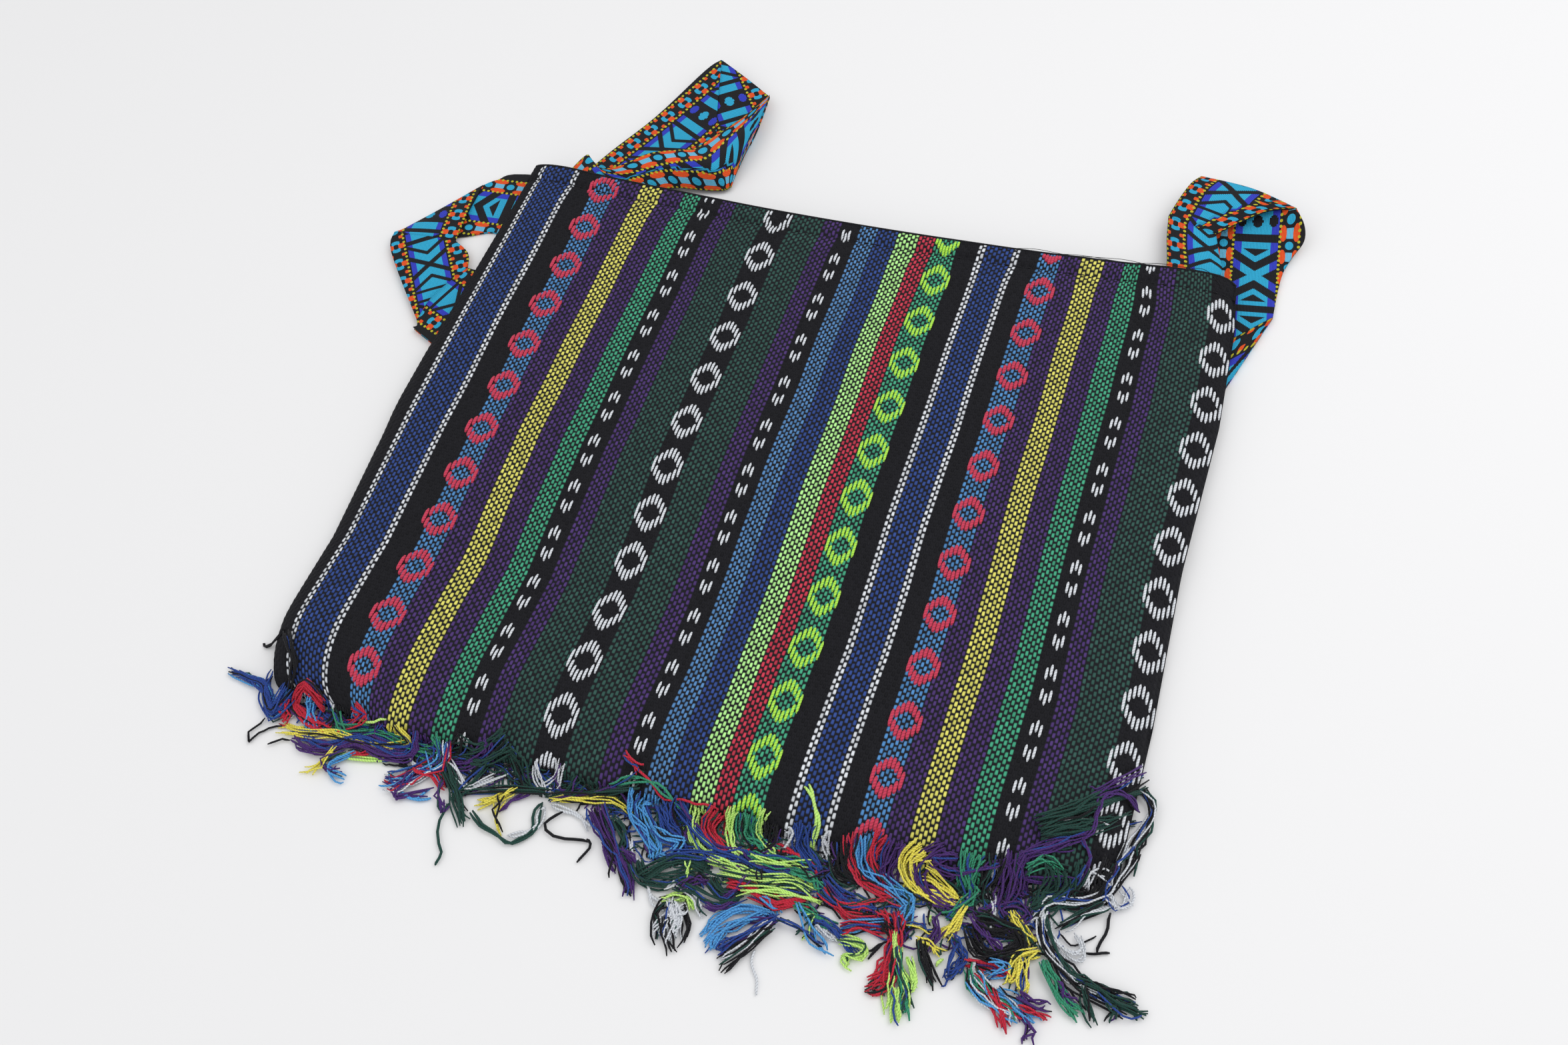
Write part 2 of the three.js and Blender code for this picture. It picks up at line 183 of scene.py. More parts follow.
# How far these reach into the cloth
SIDE_ZONE = 60
FOLD_ZONE = 8
SWAY_START = 20
SWAY_FADE = (-60, 20)
SWAY_LOSS = 0.6

# Corners of the foot: how far each is turned under, over which width, and how far the left one is drawn in
LEFT_TUCK = 4
LEFT_TUCK_ZONE = 60
RIGHT_TUCK = 11
RIGHT_TUCK_ZONE = 50
CORNER_PULL = 14
CORNER_HEIGHT = 35

# Ripples of the stripes, which fade near the sides, and puckers that the hem draws along one line of noise
RIPPLE = 0.6
RIPPLE_SIZE = 30
RIPPLE_MARGIN = 20
PUCKER = 1.6
PUCKER_SIZE = 15
PUCKER_HEIGHT = 18
PUCKER_LINE = 900


def dip(across, above):
    """The mouth hangs in a shallow curve."""
    share = across / HALF
    return MOUTH_DIP * (1 - share * share) * blend(HEIGHT / 2, HEIGHT, above)


def foot(across):
    """Where the cloth ends above the straight foot line: its corners are turned under."""
    left = LEFT_TUCK * (1 - blend(0, LEFT_TUCK_ZONE, across + HALF))
    return left + RIGHT_TUCK * (1 - blend(0, RIGHT_TUCK_ZONE, HALF - across))


def left_side(above):
    return along(LEFT_EDGE, above) + CORNER_PULL * (1 - roll(above - LEFT_TUCK, CORNER_HEIGHT))


def plan(across, above):
    """Place on the floor plan of a point of the cloth, across its stripes and above its foot."""
    from_left, from_right = across + HALF, HALF - across
    left = left_side(above) + HALF
    right = along(RIGHT_EDGE, above) - HALF
    x = across + left * (1 - blend(0, SIDE_ZONE, from_left)) + right * (1 - blend(0, SIDE_ZONE, from_right))
    sway = along(SWAY, above) * blend(SWAY_START, SIDE_ZONE, from_left)
    x += sway * (1 - SWAY_LOSS * blend(*SWAY_FADE, across))
    x += along(LEFT_FOLD, above) * (1 - blend(0, FOLD_ZONE, from_left))
    pucker = PUCKER * blend(HEIGHT - PUCKER_HEIGHT, HEIGHT - HEM_DEPTH, above)
    ripples = wave(across, above, RIPPLE_SIZE, RIPPLE) + wave(across, PUCKER_LINE, PUCKER_SIZE, pucker)
    x += ripples * blend(0, RIPPLE_MARGIN, HALF - abs(across))
    return x, above - HEIGHT / 2 - dip(across, above)


# Where the strap begins to lift the bag from the floor, and where it has lifted it
LIFT_ZONE = (106, 130)

# Hem and the groove of its stitches, swell of the front, and how the back lies
HEM_RISE = 0.55
HEM_STEP = 2
GROOVE_DEPTH = 0.9
GROOVE_WIDTH = 1.2
SWELL = 0.35
SWELL_SIZE = 45
BACK_LEVEL = 0.45
BACK_RISE = 0.7
BACK_SIDE_ROLL = 5
BACK_FOOT_ROLL = 6


def rest_height(above):
    return STRAP_LIFT * blend(*LIFT_ZONE, above)


def edge_distance(x, above):
    return min(x - left_side(above) - along(LEFT_FOLD, above), along(RIGHT_EDGE, above) - x)


def front_height(x, y, above):
    seam = rest_height(above) + SEAM_THICKNESS
    rise = roll(edge_distance(x, above), SIDE_ROLL) * roll(above - foot(x), FOOT_ROLL)
    above_hem = above - HEIGHT + HEM_DEPTH
    groove = GROOVE_DEPTH * math.exp(-(above_hem / GROOVE_WIDTH) ** 2)
    hem = HEM_RISE * blend(0, HEM_STEP, above_hem)
    return seam + (LEVEL - seam) * rise + hem - groove + wave(x, y, SWELL_SIZE, SWELL) * rise


def back_height(x, y, above):
    lift = 1 - roll(edge_distance(x, above), BACK_SIDE_ROLL) * roll(above - foot(x), BACK_FOOT_ROLL)
    return rest_height(above) + BACK_LEVEL + BACK_RISE * lift


def cloth_point(front, across, above, lift=0.0):
    x, y = plan(across, above)
    height = front_height if front else back_height
    return Vector((x, y, height(x, y, above) + lift))


def end_place(end):
    """Place across the cloth of a warp end, counted from the left edge."""
    place, first = -HALF, 0
    for _, width, count in STRIPES:
        if end <= first + count:
            return place + width * (end - first) / count
        place, first = place + width, first + count
    return HALF


# The weft bows: its greatest climb, and the lattice column where that begins, its columns and its power
MOST_BOW = 10.35
BOW_START = -0.05
BOW_COLUMNS = 12.35
BOW_POWER = 1.8


def bow(across):
    """How far the picks climb towards the right."""
    column = across / RING_PITCH + MIDDLE_COLUMN
    return MOST_BOW * (max(0, column - BOW_START) / BOW_COLUMNS) ** BOW_POWER


def make_object(name, points, faces, corner_uvs, materials, face_slots=None):
    mesh = bpy.data.meshes.new(name)
    mesh.from_pydata([metres(point) for point in points], [], faces)
    layer = mesh.uv_layers.new(name="yarn")
    layer.data.foreach_set("uv", [value for uv in corner_uvs for value in uv])
    for material in materials:
        mesh.materials.append(material)
    if face_slots:
        mesh.polygons.foreach_set("material_index", face_slots)
    mesh.polygons.foreach_set("use_smooth", [True] * len(mesh.polygons))
    mesh.update()
    thing = bpy.data.objects.new(name, mesh)
    bpy.context.collection.objects.link(thing)
    return thing


class Value:
    """A number inside a material, so that a pattern can be written as sums."""

    def __init__(self, tree, socket):
        self.tree, self.socket = tree, socket

    def combine(self, operation, *others):
        node = self.tree.nodes.new("ShaderNodeMath")
        node.operation = operation
        for slot, item in zip(node.inputs, (self, *others)):
            if isinstance(item, Value):
                self.tree.links.new(item.socket, slot)
            else:
                slot.default_value = item
        return Value(self.tree, node.outputs[0])

    def between(self, low, high):
        return self.above(low).both(self.below(high))

    def centred(self, period):
        """Distance from the nearest multiple of the period, with its sign."""
        return ((self / period + 0.5).fract() - 0.5) * period


OPERATIONS = {
    "__add__": "ADD", "__sub__": "SUBTRACT", "__mul__": "MULTIPLY", "__truediv__": "DIVIDE", "floor": "FLOOR",
    "fract": "FRACT", "size": "ABSOLUTE", "below": "LESS_THAN", "above": "GREATER_THAN", "both": "MINIMUM",
    "either": "MAXIMUM",
}


def add_operation(name, operation):
    def apply(self, *others):
        return self.combine(operation, *others)
    setattr(Value, name, apply)


for name, operation in OPERATIONS.items():
    add_operation(name, operation)


# Sockets of a node that mixes colours
MASK, UNDER, OVER, MIXED = 0, 6, 7, 2


class Paint:
    """A material made of flat layers of colour over a fabric finish."""

    def __init__(self, name, roughness, sheen=0.0, gloss=0.15):
        self.material = bpy.data.materials.new(name)
        self.material.use_nodes = True
        self.tree = self.material.node_tree
        self.shader = self.tree.nodes["Principled BSDF"]
        self.shader.inputs["Roughness"].default_value = roughness
        self.shader.inputs["Specular IOR Level"].default_value = gloss
        self.shader.inputs["Sheen Weight"].default_value = sheen
        self.colour = None

    def yarn(self):
        node = self.tree.nodes.new("ShaderNodeUVMap")
        node.uv_map = "yarn"
        split = self.tree.nodes.new("ShaderNodeSeparateXYZ")
        self.tree.links.new(node.outputs["UV"], split.inputs[0])
        return Value(self.tree, split.outputs[0]), Value(self.tree, split.outputs[1])

    def put(self, socket, item):
        if isinstance(item, Value):
            item = item.socket
        if isinstance(item, bpy.types.NodeSocket):
            self.tree.links.new(item, socket)
        else:
            socket.default_value = item

    def layer(self, colour, mask, kind="MIX"):
        """Lays a colour, or one of the named colours, over the colour so far where the mask is 1."""
        node = self.tree.nodes.new("ShaderNodeMix")
        node.data_type = "RGBA"
        node.blend_type = kind
        over = COLOURS[colour] if isinstance(colour, str) else colour
        for index, item in ((MASK, mask), (UNDER, self.colour), (OVER, over)):
            self.put(node.inputs[index], item)
        self.colour = node.outputs[MIXED]

    def shade(self, factor):
        """Multiplies the colour so far by a grey number."""
        self.layer(factor, 1, "MULTIPLY")

    def random(self, first, second, low, high):
        """A steady random number for each whole pair of numbers."""
        both = self.tree.nodes.new("ShaderNodeCombineXYZ")
        self.put(both.inputs[0], first)
        self.put(both.inputs[1], second)
        node = self.tree.nodes.new("ShaderNodeTexWhiteNoise")
        node.noise_dimensions = "3D"
        self.tree.links.new(both.outputs[0], node.inputs["Vector"])
        return Value(self.tree, node.outputs["Value"]) * (high - low) + low

    def fuzz(self, scale):
        """Fine uneven fibres, as a number about a half."""
        node = self.tree.nodes.new("ShaderNodeTexNoise")
        node.inputs["Scale"].default_value = scale
        return Value(self.tree, node.outputs[0])

    def ramp(self, steps, place):
        node = self.tree.nodes.new("ShaderNodeValToRGB")
        node.color_ramp.interpolation = "CONSTANT"
        elements = node.color_ramp.elements
        elements[0].position, elements[0].color = steps[0]
        elements.remove(elements[1])
        for position, colour in steps[1:]:
            elements.new(position).color = colour
        self.put(node.inputs[0], place)
        return node.outputs[0]

    def bump(self, height, distance, strength=1.0):
        node = self.tree.nodes.new("ShaderNodeBump")
        node.inputs["Strength"].default_value = strength
        node.inputs["Distance"].default_value = distance
        self.put(node.inputs["Height"], height)
        self.tree.links.new(node.outputs["Normal"], self.shader.inputs["Normal"])

    def done(self):
        self.put(self.shader.inputs["Base Color"], self.colour)
        return self.material


def stripe_steps(stripes):
    """Ramp stops of some stripes over their own ends."""
    total = sum(count for _, _, count in stripes)
    steps, end = [], 0
    for colour, _, count in stripes:
        steps.append((end / total, COLOURS[colour]))
        end += count
    return steps, total


# Finish of cotton and ribbon, and scale of their fibres
COTTON_ROUGHNESS = 0.9
RIBBON_ROUGHNESS = 0.6
CLOTH_FIBRES = 1500
YARN_FIBRES = 2600

# Grains of the weave: shares of an end's width and of two picks, and stripes that one ramp holds
GRAIN_WIDTH = 0.4
GRAIN_LENGTH = 0.71
GRAIN_STRAY = 0.12
RAMP_STRIPES = 9


def weave_material(name, stripes):
    """Coloured warp ends that show as staggered grains on a black weft, with painted shade towards each
    grain's edges.
    """
    paint = Paint(name, COTTON_ROUGHNESS)
    end, pick = paint.yarn()
    column = end.floor()
    odd = (column / 2).fract() * 2
    turn = (pick + 0.5 + odd) / 2
    across = (end - column - 0.5) / GRAIN_WIDTH
    stray = paint.random(column, turn.floor() + 0.5, -GRAIN_STRAY, GRAIN_STRAY)
    grain = (turn.fract() * 2 - 1 + stray) / GRAIN_LENGTH
    reach = across * across * across * across + grain * grain * grain * grain
    paint.colour = COLOURS["black"]
    first = 0
    for start in range(0, len(stripes), RAMP_STRIPES):
        steps, total = stripe_steps(stripes[start:start + RAMP_STRIPES])
        place = (column + 0.5 - first) / total
        paint.layer(paint.ramp(steps, place), column.above(first - 0.5))
        first += total
    # Each grain has a random tone of its own, and painted shade darkens it towards its edges so that it looks
    # round.
    paint.shade(paint.random(column, turn.floor(), 0.8, 1.16) - reach.both(1.2) * 0.25)
    paint.shade(paint.fuzz(CLOTH_FIBRES) * 0.7 + 0.65)
    paint.layer("black", ((reach - 0.35) / 1.1).either(0).both(1))
    paint.bump((reach * -1 + 1).either(0), 0.0005, 0.7)
    return paint.done()


# Steps of the hem's turn, places down its inner layer, and how far ends stand over and under the picks
HEM_TURN_STEPS = 5
HEM_PLACES = (2, 4, HEM_DEPTH)
END_OVER = 0.13
END_UNDER = -0.1


def cloth_column(across):
    """A column of the cloth from its foot to the turned hem: height above the foot, way along it and lift."""
    climb = bow(across)
    low = foot(across)
    column = [(low, low, 0.0)]
    for pick in range(-math.ceil(MOST_BOW / PICK), PICKS):
        above = min(max((pick + 0.5) * PICK + climb, low), HEIGHT)
        column.append((above, above, 0.0))
    for step in range(1, HEM_TURN_STEPS + 1):
        angle = math.pi * step / HEM_TURN_STEPS
        above = HEIGHT + HEM_RADIUS * math.sin(angle)
        column.append((above, HEIGHT + HEM_RADIUS * angle, -HEM_RADIUS * (1 - math.cos(angle))))
    for down in HEM_PLACES:
        column.append((HEIGHT - down, HEIGHT + math.pi * HEM_RADIUS + down, -2 * HEM_RADIUS))
    return column


def cloth_object(name, front, material):
    ends = [0.0] + [end + 0.5 for end in range(ENDS)] + [float(ENDS)]
    places = [end_place(end) for end in ends]
    columns = [cloth_column(across) for across in places]
    first = 1 + math.ceil(MOST_BOW / PICK)
    points, uvs = [], []
    for j in range(len(columns[0])):
        for i, end in enumerate(ends):
            above, way, lift = columns[i][j]
            raised = END_OVER if (i + j - first) % 2 else END_UNDER
            inside = 0 < i < len(ends) - 1 and foot(places[i]) < above < HEIGHT
            turned = lift if front else -lift
            points.append(cloth_point(front, places[i], above, turned + (raised if inside else 0)))
            uvs.append((end, (way - bow(places[i])) / PICK))
    wide = len(ends)
    faces = [
        (j * wide + i, j * wide + i + 1, (j + 1) * wide + i + 1, (j + 1) * wide + i)
        for j in range(len(columns[0]) - 1)
        for i in range(wide - 1)
    ]
    if not front:
        faces = [tuple(reversed(face)) for face in faces]
    return make_object(name, points, faces, [uvs[corner] for face in faces for corner in face], [material])


class Tubes:
    """Yarns gathered into one mesh. Each takes a named colour."""

    def __init__(self):
        self.points, self.faces, self.uvs, self.slots, self.names = [], [], [], [], []

    def add(self, path, radius, colour, sides=6, flat=1.0, taper=0.6):
        if colour not in self.names:
            self.names.append(colour)
        slot, start, length = self.names.index(colour), len(self.points), [0.0]
        for a, b in zip(path, path[1:]):
            length.append(length[-1] + (b - a).length)
        for i, point in enumerate(path):
            ahead = (path[min(i + 1, len(path) - 1)] - path[max(i - 1, 0)]).normalized()
            side = ahead.cross(Vector((0, 0, 1)))
            side = side.normalized() if side.length > 0.001 else Vector((1, 0, 0))
            up = side.cross(ahead)
            thick = radius * (taper if i in (0, len(path) - 1) else 1)
            for k in range(sides):
                angle = 2 * math.pi * k / sides
                self.points.append(point + thick * (side * math.cos(angle) + up * math.sin(angle) * flat))
        for i in range(len(path) - 1):
            for k in range(sides):
                a, b = start + i * sides + k, start + i * sides + (k + 1) % sides
                self.faces.append((a, b, b + sides, a + sides))
                self.uvs += [(k / sides, length[i]), ((k + 1) / sides, length[i]),
                             ((k + 1) / sides, length[i + 1]), (k / sides, length[i + 1])]
                self.slots.append(slot)
        for ring, order in ((0, -1), (len(path) - 1, 1)):
            corners = [start + ring * sides + k for k in range(sides)][::order]
            self.faces.append(tuple(corners))
            self.uvs += [(0.5, length[ring])] * sides
            self.slots.append(slot)

    def build(self, name, kind, palette):
        materials = [yarn_material(kind + colour, palette[colour]) for colour in self.names]
        return make_object(name, self.points, self.faces, self.uvs, materials, self.slots)


def yarn_material(name, colour):
    """Two-ply cotton: painted shade darkens the grooves that wind round the yarn."""
    paint = Paint(name, COTTON_ROUGHNESS, 0.08)
    turn, length = paint.yarn()
    ply = ((turn + length / 2) * 2).fract() - 0.5
    paint.colour = colour
    # Painted shade in the grooves between the plies.
    paint.shade((ply * ply) * -1.2 + 1.08)
    paint.shade(paint.fuzz(YARN_FIBRES) * 0.5 + 0.75)
    paint.bump(ply * ply * -4 + 1, 0.0002, 0.6)
    return paint.done()


def motif_place(column, row):
    """Place across and above the foot of a motif of the lattice."""
    x, y = lattice(column, row)
    across = x
    for _ in range(4):
        across += x - plan(across, HEIGHT / 2)[0]
    above = y + HEIGHT / 2
    return across, above + dip(across, above)


# Floats: steps along one, its rise over the cloth, how deep its ends sit, the shortest one, and how near to
# the foot and the mouth they come
FLOAT_STEPS = 5
FLOAT_RISE = 0.4
FLOAT_SINK = 0.1
SHORTEST_FLOAT = 1.2
FOOT_MARGIN = 0.8
MOUTH_MARGIN = 0.2


def float_path(across, low, high):
    """A warp yarn that passes over the cloth between two heights above the foot."""
    path = []
    for step in range(FLOAT_STEPS + 1):
        share = step / FLOAT_STEPS
        above = low + (high - low) * share
        lift = FLOAT_RISE * math.sin(math.pi * share) ** 0.5 - FLOAT_SINK
        path.append(cloth_point(True, across, above, lift))
    return path


def on_cloth(across, above):
    return min(max(above, foot(across) + FOOT_MARGIN), HEIGHT - MOUTH_MARGIN)


# A ring has eight warp ends. For each end of one half, from the outside in, the picks it floats over, counted
# from the ring's middle. All but the outermost float again below the middle.
RING_FLOATS = [(-3.3, 3.3), (0.4, 4.9), (2.1, 6.4), (3.2, 7.5)]
RING_ENDS = 2 * len(RING_FLOATS)
RING_REACH = 6.6
EDGE_MARGIN = 0.4


def ring_floats(tubes):
    for column, first, colour, wide, tall, thick in RINGS:
        scale = tall * RING_PITCH / 2 / RING_REACH
        step = wide * RING_PITCH / RING_ENDS
        for count in range(RING_COUNT):
            across, middle = motif_place(column, first - count)
            for index, (low, high) in enumerate(RING_FLOATS):
                spans = [(low, high), (-high, -low)] if index else [(low, high)]
                for side in (-1, 1):
                    place = across + side * step * ((RING_ENDS - 1) / 2 - index)
                    if abs(place) <= HALF - EDGE_MARGIN:
                        span_floats(tubes, place, middle, scale, spans, step * thick, colour)


def span_floats(tubes, place, middle, scale, spans, radius, colour):
    for span in spans:
        low, high = (on_cloth(place, middle + end * scale) for end in span)
        if high - low > SHORTEST_FLOAT:
            tubes.add(float_path(place, low, high), radius, colour, flat=0.6)


# A mark has two halves of three floats, the middle one further out
MARK_HALF = 0.2 * RING_PITCH
MARK_PLACES = [(-1, -0.2), (0, 1.2), (1, -0.2)]
MARK_LENGTH = 4.4
MARK_STEP = 1.45
MARK_RADIUS = 0.46


def mark_floats(tubes):
    for column, first in MARKS:
        for count in range(RING_COUNT):
            across, above = motif_place(column, first - count)
            for side in (-1, 1):
                for index, outward in MARK_PLACES:
                    centre = above + side * MARK_HALF + side * outward
                    low, high = (on_cloth(across, centre + end * MARK_LENGTH / 2) for end in (-1, 1))
                    if high - low > SHORTEST_FLOAT:
                        path = float_path(across + index * MARK_STEP, low, high)
                        tubes.add(path, MARK_RADIUS, "white", flat=0.7)


# Loose threads of the mouth: places across and above the mouth
LOOSE_THREADS = [
    [(52, -1), (64, 2.2), (80, 0.8), (98, 2.6), (112, 0.6), (121, 1.2)],
    [(70, 0), (84, 1.8), (101, 0.6), (118, 2.4), (131, 1)],
    [(122, -3), (130, 2), (137, 1), (142, -4)],
]

# Steps along a loose thread and along the edge of the mouth, and sizes of these yarns and of the hem stitches
LOOSE_STEPS = 5
LOOSE_RADIUS = 0.13
MOUTH_STEPS = 150
MOUTH_RADIUS = 0.45
FIRST_STITCH = 2
STITCH_PITCH = 4.2
STITCH_LENGTH = 2.6
STITCH_RISE = 0.32
STITCH_RADIUS = 0.22


def loose_threads(tubes):
    for places in LOOSE_THREADS:
        path = [cloth_point(True, across, HEIGHT + up, 0.3 - max(0, up) * 0.4) for across, up in places]
        steps = LOOSE_STEPS * (len(path) - 1)
        smooth = [curve(path, step / LOOSE_STEPS) for step in range(steps + 1)]
        tubes.add(smooth, LOOSE_RADIUS, "black", sides=4)


def mouth_edge(tubes):
    """The outermost weft yarn, which edges the mouth."""
    places = [-HALF + 2 * HALF * step / MOUTH_STEPS for step in range(MOUTH_STEPS + 1)]
    path = [cloth_point(True, across, HEIGHT + 0.4, -0.1) for across in places]
    tubes.add(path, MOUTH_RADIUS, "black", sides=6)


def hem_stitches(tubes):
    for count in range(int(2 * HALF / STITCH_PITCH)):
        start = -HALF + FIRST_STITCH + count * STITCH_PITCH
        path = []
        for share in (0, 0.25, 0.5, 0.75, 1):
            lift = STITCH_RISE * math.sin(math.pi * share)
            path.append(cloth_point(True, start + share * STITCH_LENGTH, HEIGHT - HEM_DEPTH, lift))
        tubes.add(path, STITCH_RADIUS, "black", sides=5)


def curve(points, place):
    """A smooth line through points: place counts the points."""
    index = min(int(place), len(points) - 2)
    share = place - index
    a, b, c, d = (points[min(max(index + k, 0), len(points) - 1)] for k in (-1, 0, 1, 2))
    return b + 0.5 * share * (c - a + share * (2 * a - 5 * b + 4 * c - d + share * (3 * (b - c) + d - a)))


# Runs of the strap from the left mouth corner to the right one. Each line across goes from one edge to the
# other, as points measured from a mouth corner: place across, place along and height.
# heading and zero place the ribbon's pattern on a flat run; elsewhere it follows the ribbon.
# A pleat hides the middle of the ribbon, so that both borders show, or the border far from the first edge.
RUNS = [
    {"corner": -1, "pleat": "middle", "lines": [
        [(10, -4, 7), (20, -8, 7), (30, -10, 6)],
        [(16, 8.8, 9), (25, 0, 9), (34, -6, 7)],
        [(21, 4.3, 9), (30, -1, 9), (41, -5, 6.5)],
        [(30, 3.5, 10), (38, 1.5, 9), (47, -2, 5)],
        [(43, 12.9, 11.5), (49.5, 7.5, 10), (56, 3.5, 4)],
        [(54, 19, 9.6), (61.5, 11, 10.4), (67, 6.5, 2)],
        [(59.3, 21.5, 9), (69.5, 13, 10.4), (75, 8.5, 1.5)],
        [(65.8, 32.6, 8), (74.5, 22, 10), (77, 10, 1.5)],
        [(72.5, 44.5, 7), (78, 31, 9), (77.5, 11, 1.5)],
        [(78.1, 61.5, 4.5), (79.8, 40, 7), (77, 12, 1.5)],
    ]},
    {"corner": -1, "heading": 126, "zero": (62.4, 54.7), "lines": [
        [(78.1, 61.5, 3.4), (78.5, 38, 2.2), (75, 10.5, 0.9)],
        [(66, 68.6, 4.6), (70, 42, 3), (71, 19, 1.4)],
        [(52, 75.7, 6.5), (59, 49, 4.2), (66, 26, 2.6)],
    ]},
    {"corner": -1, "heading": -118, "zero": (54, 45.4), "lines": [
        [(52, 75.7, 6.5), (59, 49, 4.4), (66, 26, 2.6)],
        [(46.4, 69.6, 5), (54.4, 47, 3.4), (61, 18, 2.2)],
        [(33.4, 41, 2.6), (47.6, 33.8, 2.6), (56, 16, 2)],
        [(18.3, 12, 2), (32.5, 4.7, 2), (46.7, -2.5, 1.9)],
        [(-2, -38, 1.9), (25, -14, 1.9), (46, 4, 1.9)],
    ]},
    {"corner": -1, "heading": 183, "zero": (-3.3, -19.5), "lines": [
        [(-2, -38, 0.6), (25, -14, 0.6), (46, 4, 0.6)],
        [(-11, -32.7, 0.6), (-10.4, -16, 0.6), (-9.9, 0.4, 0.6)],
        [(-26, -38.5, 0.7), (-23, -22, 0.8), (-20.9, -5.3, 0.8)],
        [(-50.7, -42, 1.2), (-38, -26, 1.2), (-25.6, -9.6, 1.2)],
    ]},
    {"corner": -1, "heading": -82, "zero": (-40.8, -30), "lines": [
        [(-50.7, -42, 1.2), (-38, -26, 1.2), (-25.6, -9.6, 1.2)],
        [(-50.9, -42.6, 2.2), (-37.6, -33.5, 2.4), (-25.2, -25, 2.2)],
        [(-51, -43.2, 2.6), (-37.4, -42.4, 3), (-23.9, -41.7, 2.4)],
    ]},
    {"corner": -1, "heading": -57, "zero": (-42.1, -35.7), "lines": [
        [(-51, -43.2, 2.6), (-37.4, -42.4, 3), (-23.9, -41.7, 2.4)],
        [(-47.7, -53.4, 2.2), (-32, -50, 2.6), (-16, -46.6, 2.2)],
        [(-22.1, -83.6, 2), (-20.7, -71, 2.4), (-13, -54, 2.2)],
    ]},
    {"corner": -1, "heading": -22, "zero": (-55.6, -53.8), "lines": [
        [(-22.1, -83.6, 2), (-20.7, -71, 2.4), (-13, -54, 2.2)],
        [(-21, -86, 1.9), (-4, -82, 1.9), (8, -62, 1.9)],
        [(-22.3, -87, 1.9), (10, -103, 1.9), (43.8, -119, 1.9)],
    ]},
    {"corner": -1, "lines": [
        [(-22.3, -87, 0.6), (10, -103, 0.6), (43.8, -119, 0.6)],
        [(60, -87, 0.6), (70, -103, 0.6), (80, -119, 0.6)],
        [(200, -87, 0.6), (195, -103, 0.6), (180, -119, 0.6)],
        [(267.7, -87.1, 0.6), (231, -103, 0.6), (194.3, -118.9, 0.6)],
    ]},
    {"corner": 1, "lines": [
        [(-12.3, -87.1, 1.9), (-49, -103, 1.9), (-85.7, -118.9, 1.9)],
        [(-8, -82, 1.9), (-22, -73, 1.9), (-40, -70, 1.9)],
        [(-3.3, -77.4, 1.4), (7, -43, 1.4), (17.4, -8.9, 1.2)],
    ]},
    {"corner": 1, "heading": 97, "zero": (4.6, 33.5), "lines": [
        [(-3.3, -77.4, 0.6), (7, -43, 0.6), (17.4, -8.9, 0.7)],
        [(-14.6, -5, 0.6), (1.4, 2, 0.7), (17.2, 4, 0.8)],
        [(-14.7, 14, 1.2), (1.5, 15, 1.2), (17.6, 13, 1.2)],
        [(-14, 27, 3), (3, 25, 2.4), (19.8, 20.9, 2)],
        [(-16, 39, 5), (3, 34, 4.5), (22.7, 27.9, 4)],
        [(-18.5, 47, 6.5), (2, 41.5, 7), (21.4, 33, 7.5)],
        [(-19.9, 48.8, 8), (0, 45.4, 9), (17.6, 38.2, 9.6)],
    ]},
    {"corner": 1, "start": 18.2, "pleat": "middle", "lines": [
        [(-19.9, 48.8, 8), (0, 45.4, 9), (17.6, 38.2, 9.6)],
        [(-23.1, 43.7, 8.6), (-8, 38.5, 9.6), (7.8, 35.2, 9.4)],
        [(-26.2, 35, 7.6), (-14, 30.5, 9), (-2.3, 27.7, 8.2)],
        [(-28.3, 27, 6.6), (-19, 23, 8.2), (-9.4, 21.5, 7)],
    ]},
    {"corner": 1, "pleat": "far border", "lines": [
        [(-28.3, 27, 6.6), (-19, 23, 8.2), (-9.4, 21.5, 7)],
        [(-26.8, 16, 6.4), (-17, 13, 8), (-6.6, 12.2, 6.6)],
        [(-24.6, 4.8, 6.4), (-14.5, 3.5, 7.6), (-4.1, 4.2, 6.4)],
        [(-23.6, -6, 6.2), (-14.6, -8, 7), (-5.6, -9, 6.2)],
    ]},
]

# Steps across the ribbon and between two lines, width of its borders and how much of one a pleat shows
ACROSS = 20
LINE_STEPS = 5
BORDER = 8
BORDER_SHOWN = 8.4


def mouth_corner(run):
    return Vector((MOUTH_HALF * run["corner"], HEIGHT / 2, 0))


def strap_lines(run):
    """Rows of points of one run, each from edge to edge."""
    lines = [[mouth_corner(run) + Vector(point) for point in line] for line in run["lines"]]
    rows = []
    for step in range((len(lines) - 1) * LINE_STEPS + 1):
        across = [curve([line[k] for line in lines], step / LINE_STEPS) for k in range(3)]
        rows.append([curve(across, 2 * k / ACROSS) for k in range(ACROSS + 1)])
    return rows


def flat_pattern(run, rows):
    """Pattern places of a flat run: share of the width and millimetres along its heading."""
    angle = math.radians(run["heading"])
    ahead = Vector((math.cos(angle), math.sin(angle), 0))
    sideways = Vector((ahead.y, -ahead.x, 0))
    if (rows[0][-1] - rows[0][0]).dot(sideways) < 0:
        sideways = -sideways
    zero = mouth_corner(run) + Vector((*run["zero"], 0))
    return [
        [(0.5 + (point - zero).dot(sideways) / STRAP_WIDTH, (point - zero).dot(ahead)) for point in row]
        for row in rows
    ]


def pleat_shares(row, kind):
    """Shares of the width along a row whose middle or far border is hidden."""
    whole = (row[-1] - row[0]).length
    shown = BORDER_SHOWN if kind == "middle" else 0
    shares = []
    for k in range(ACROSS + 1):
        inward = whole * k / ACROSS
        hidden = STRAP_WIDTH - whole if whole - inward < shown else 0
        shares.append((hidden + inward) / STRAP_WIDTH)
    return shares


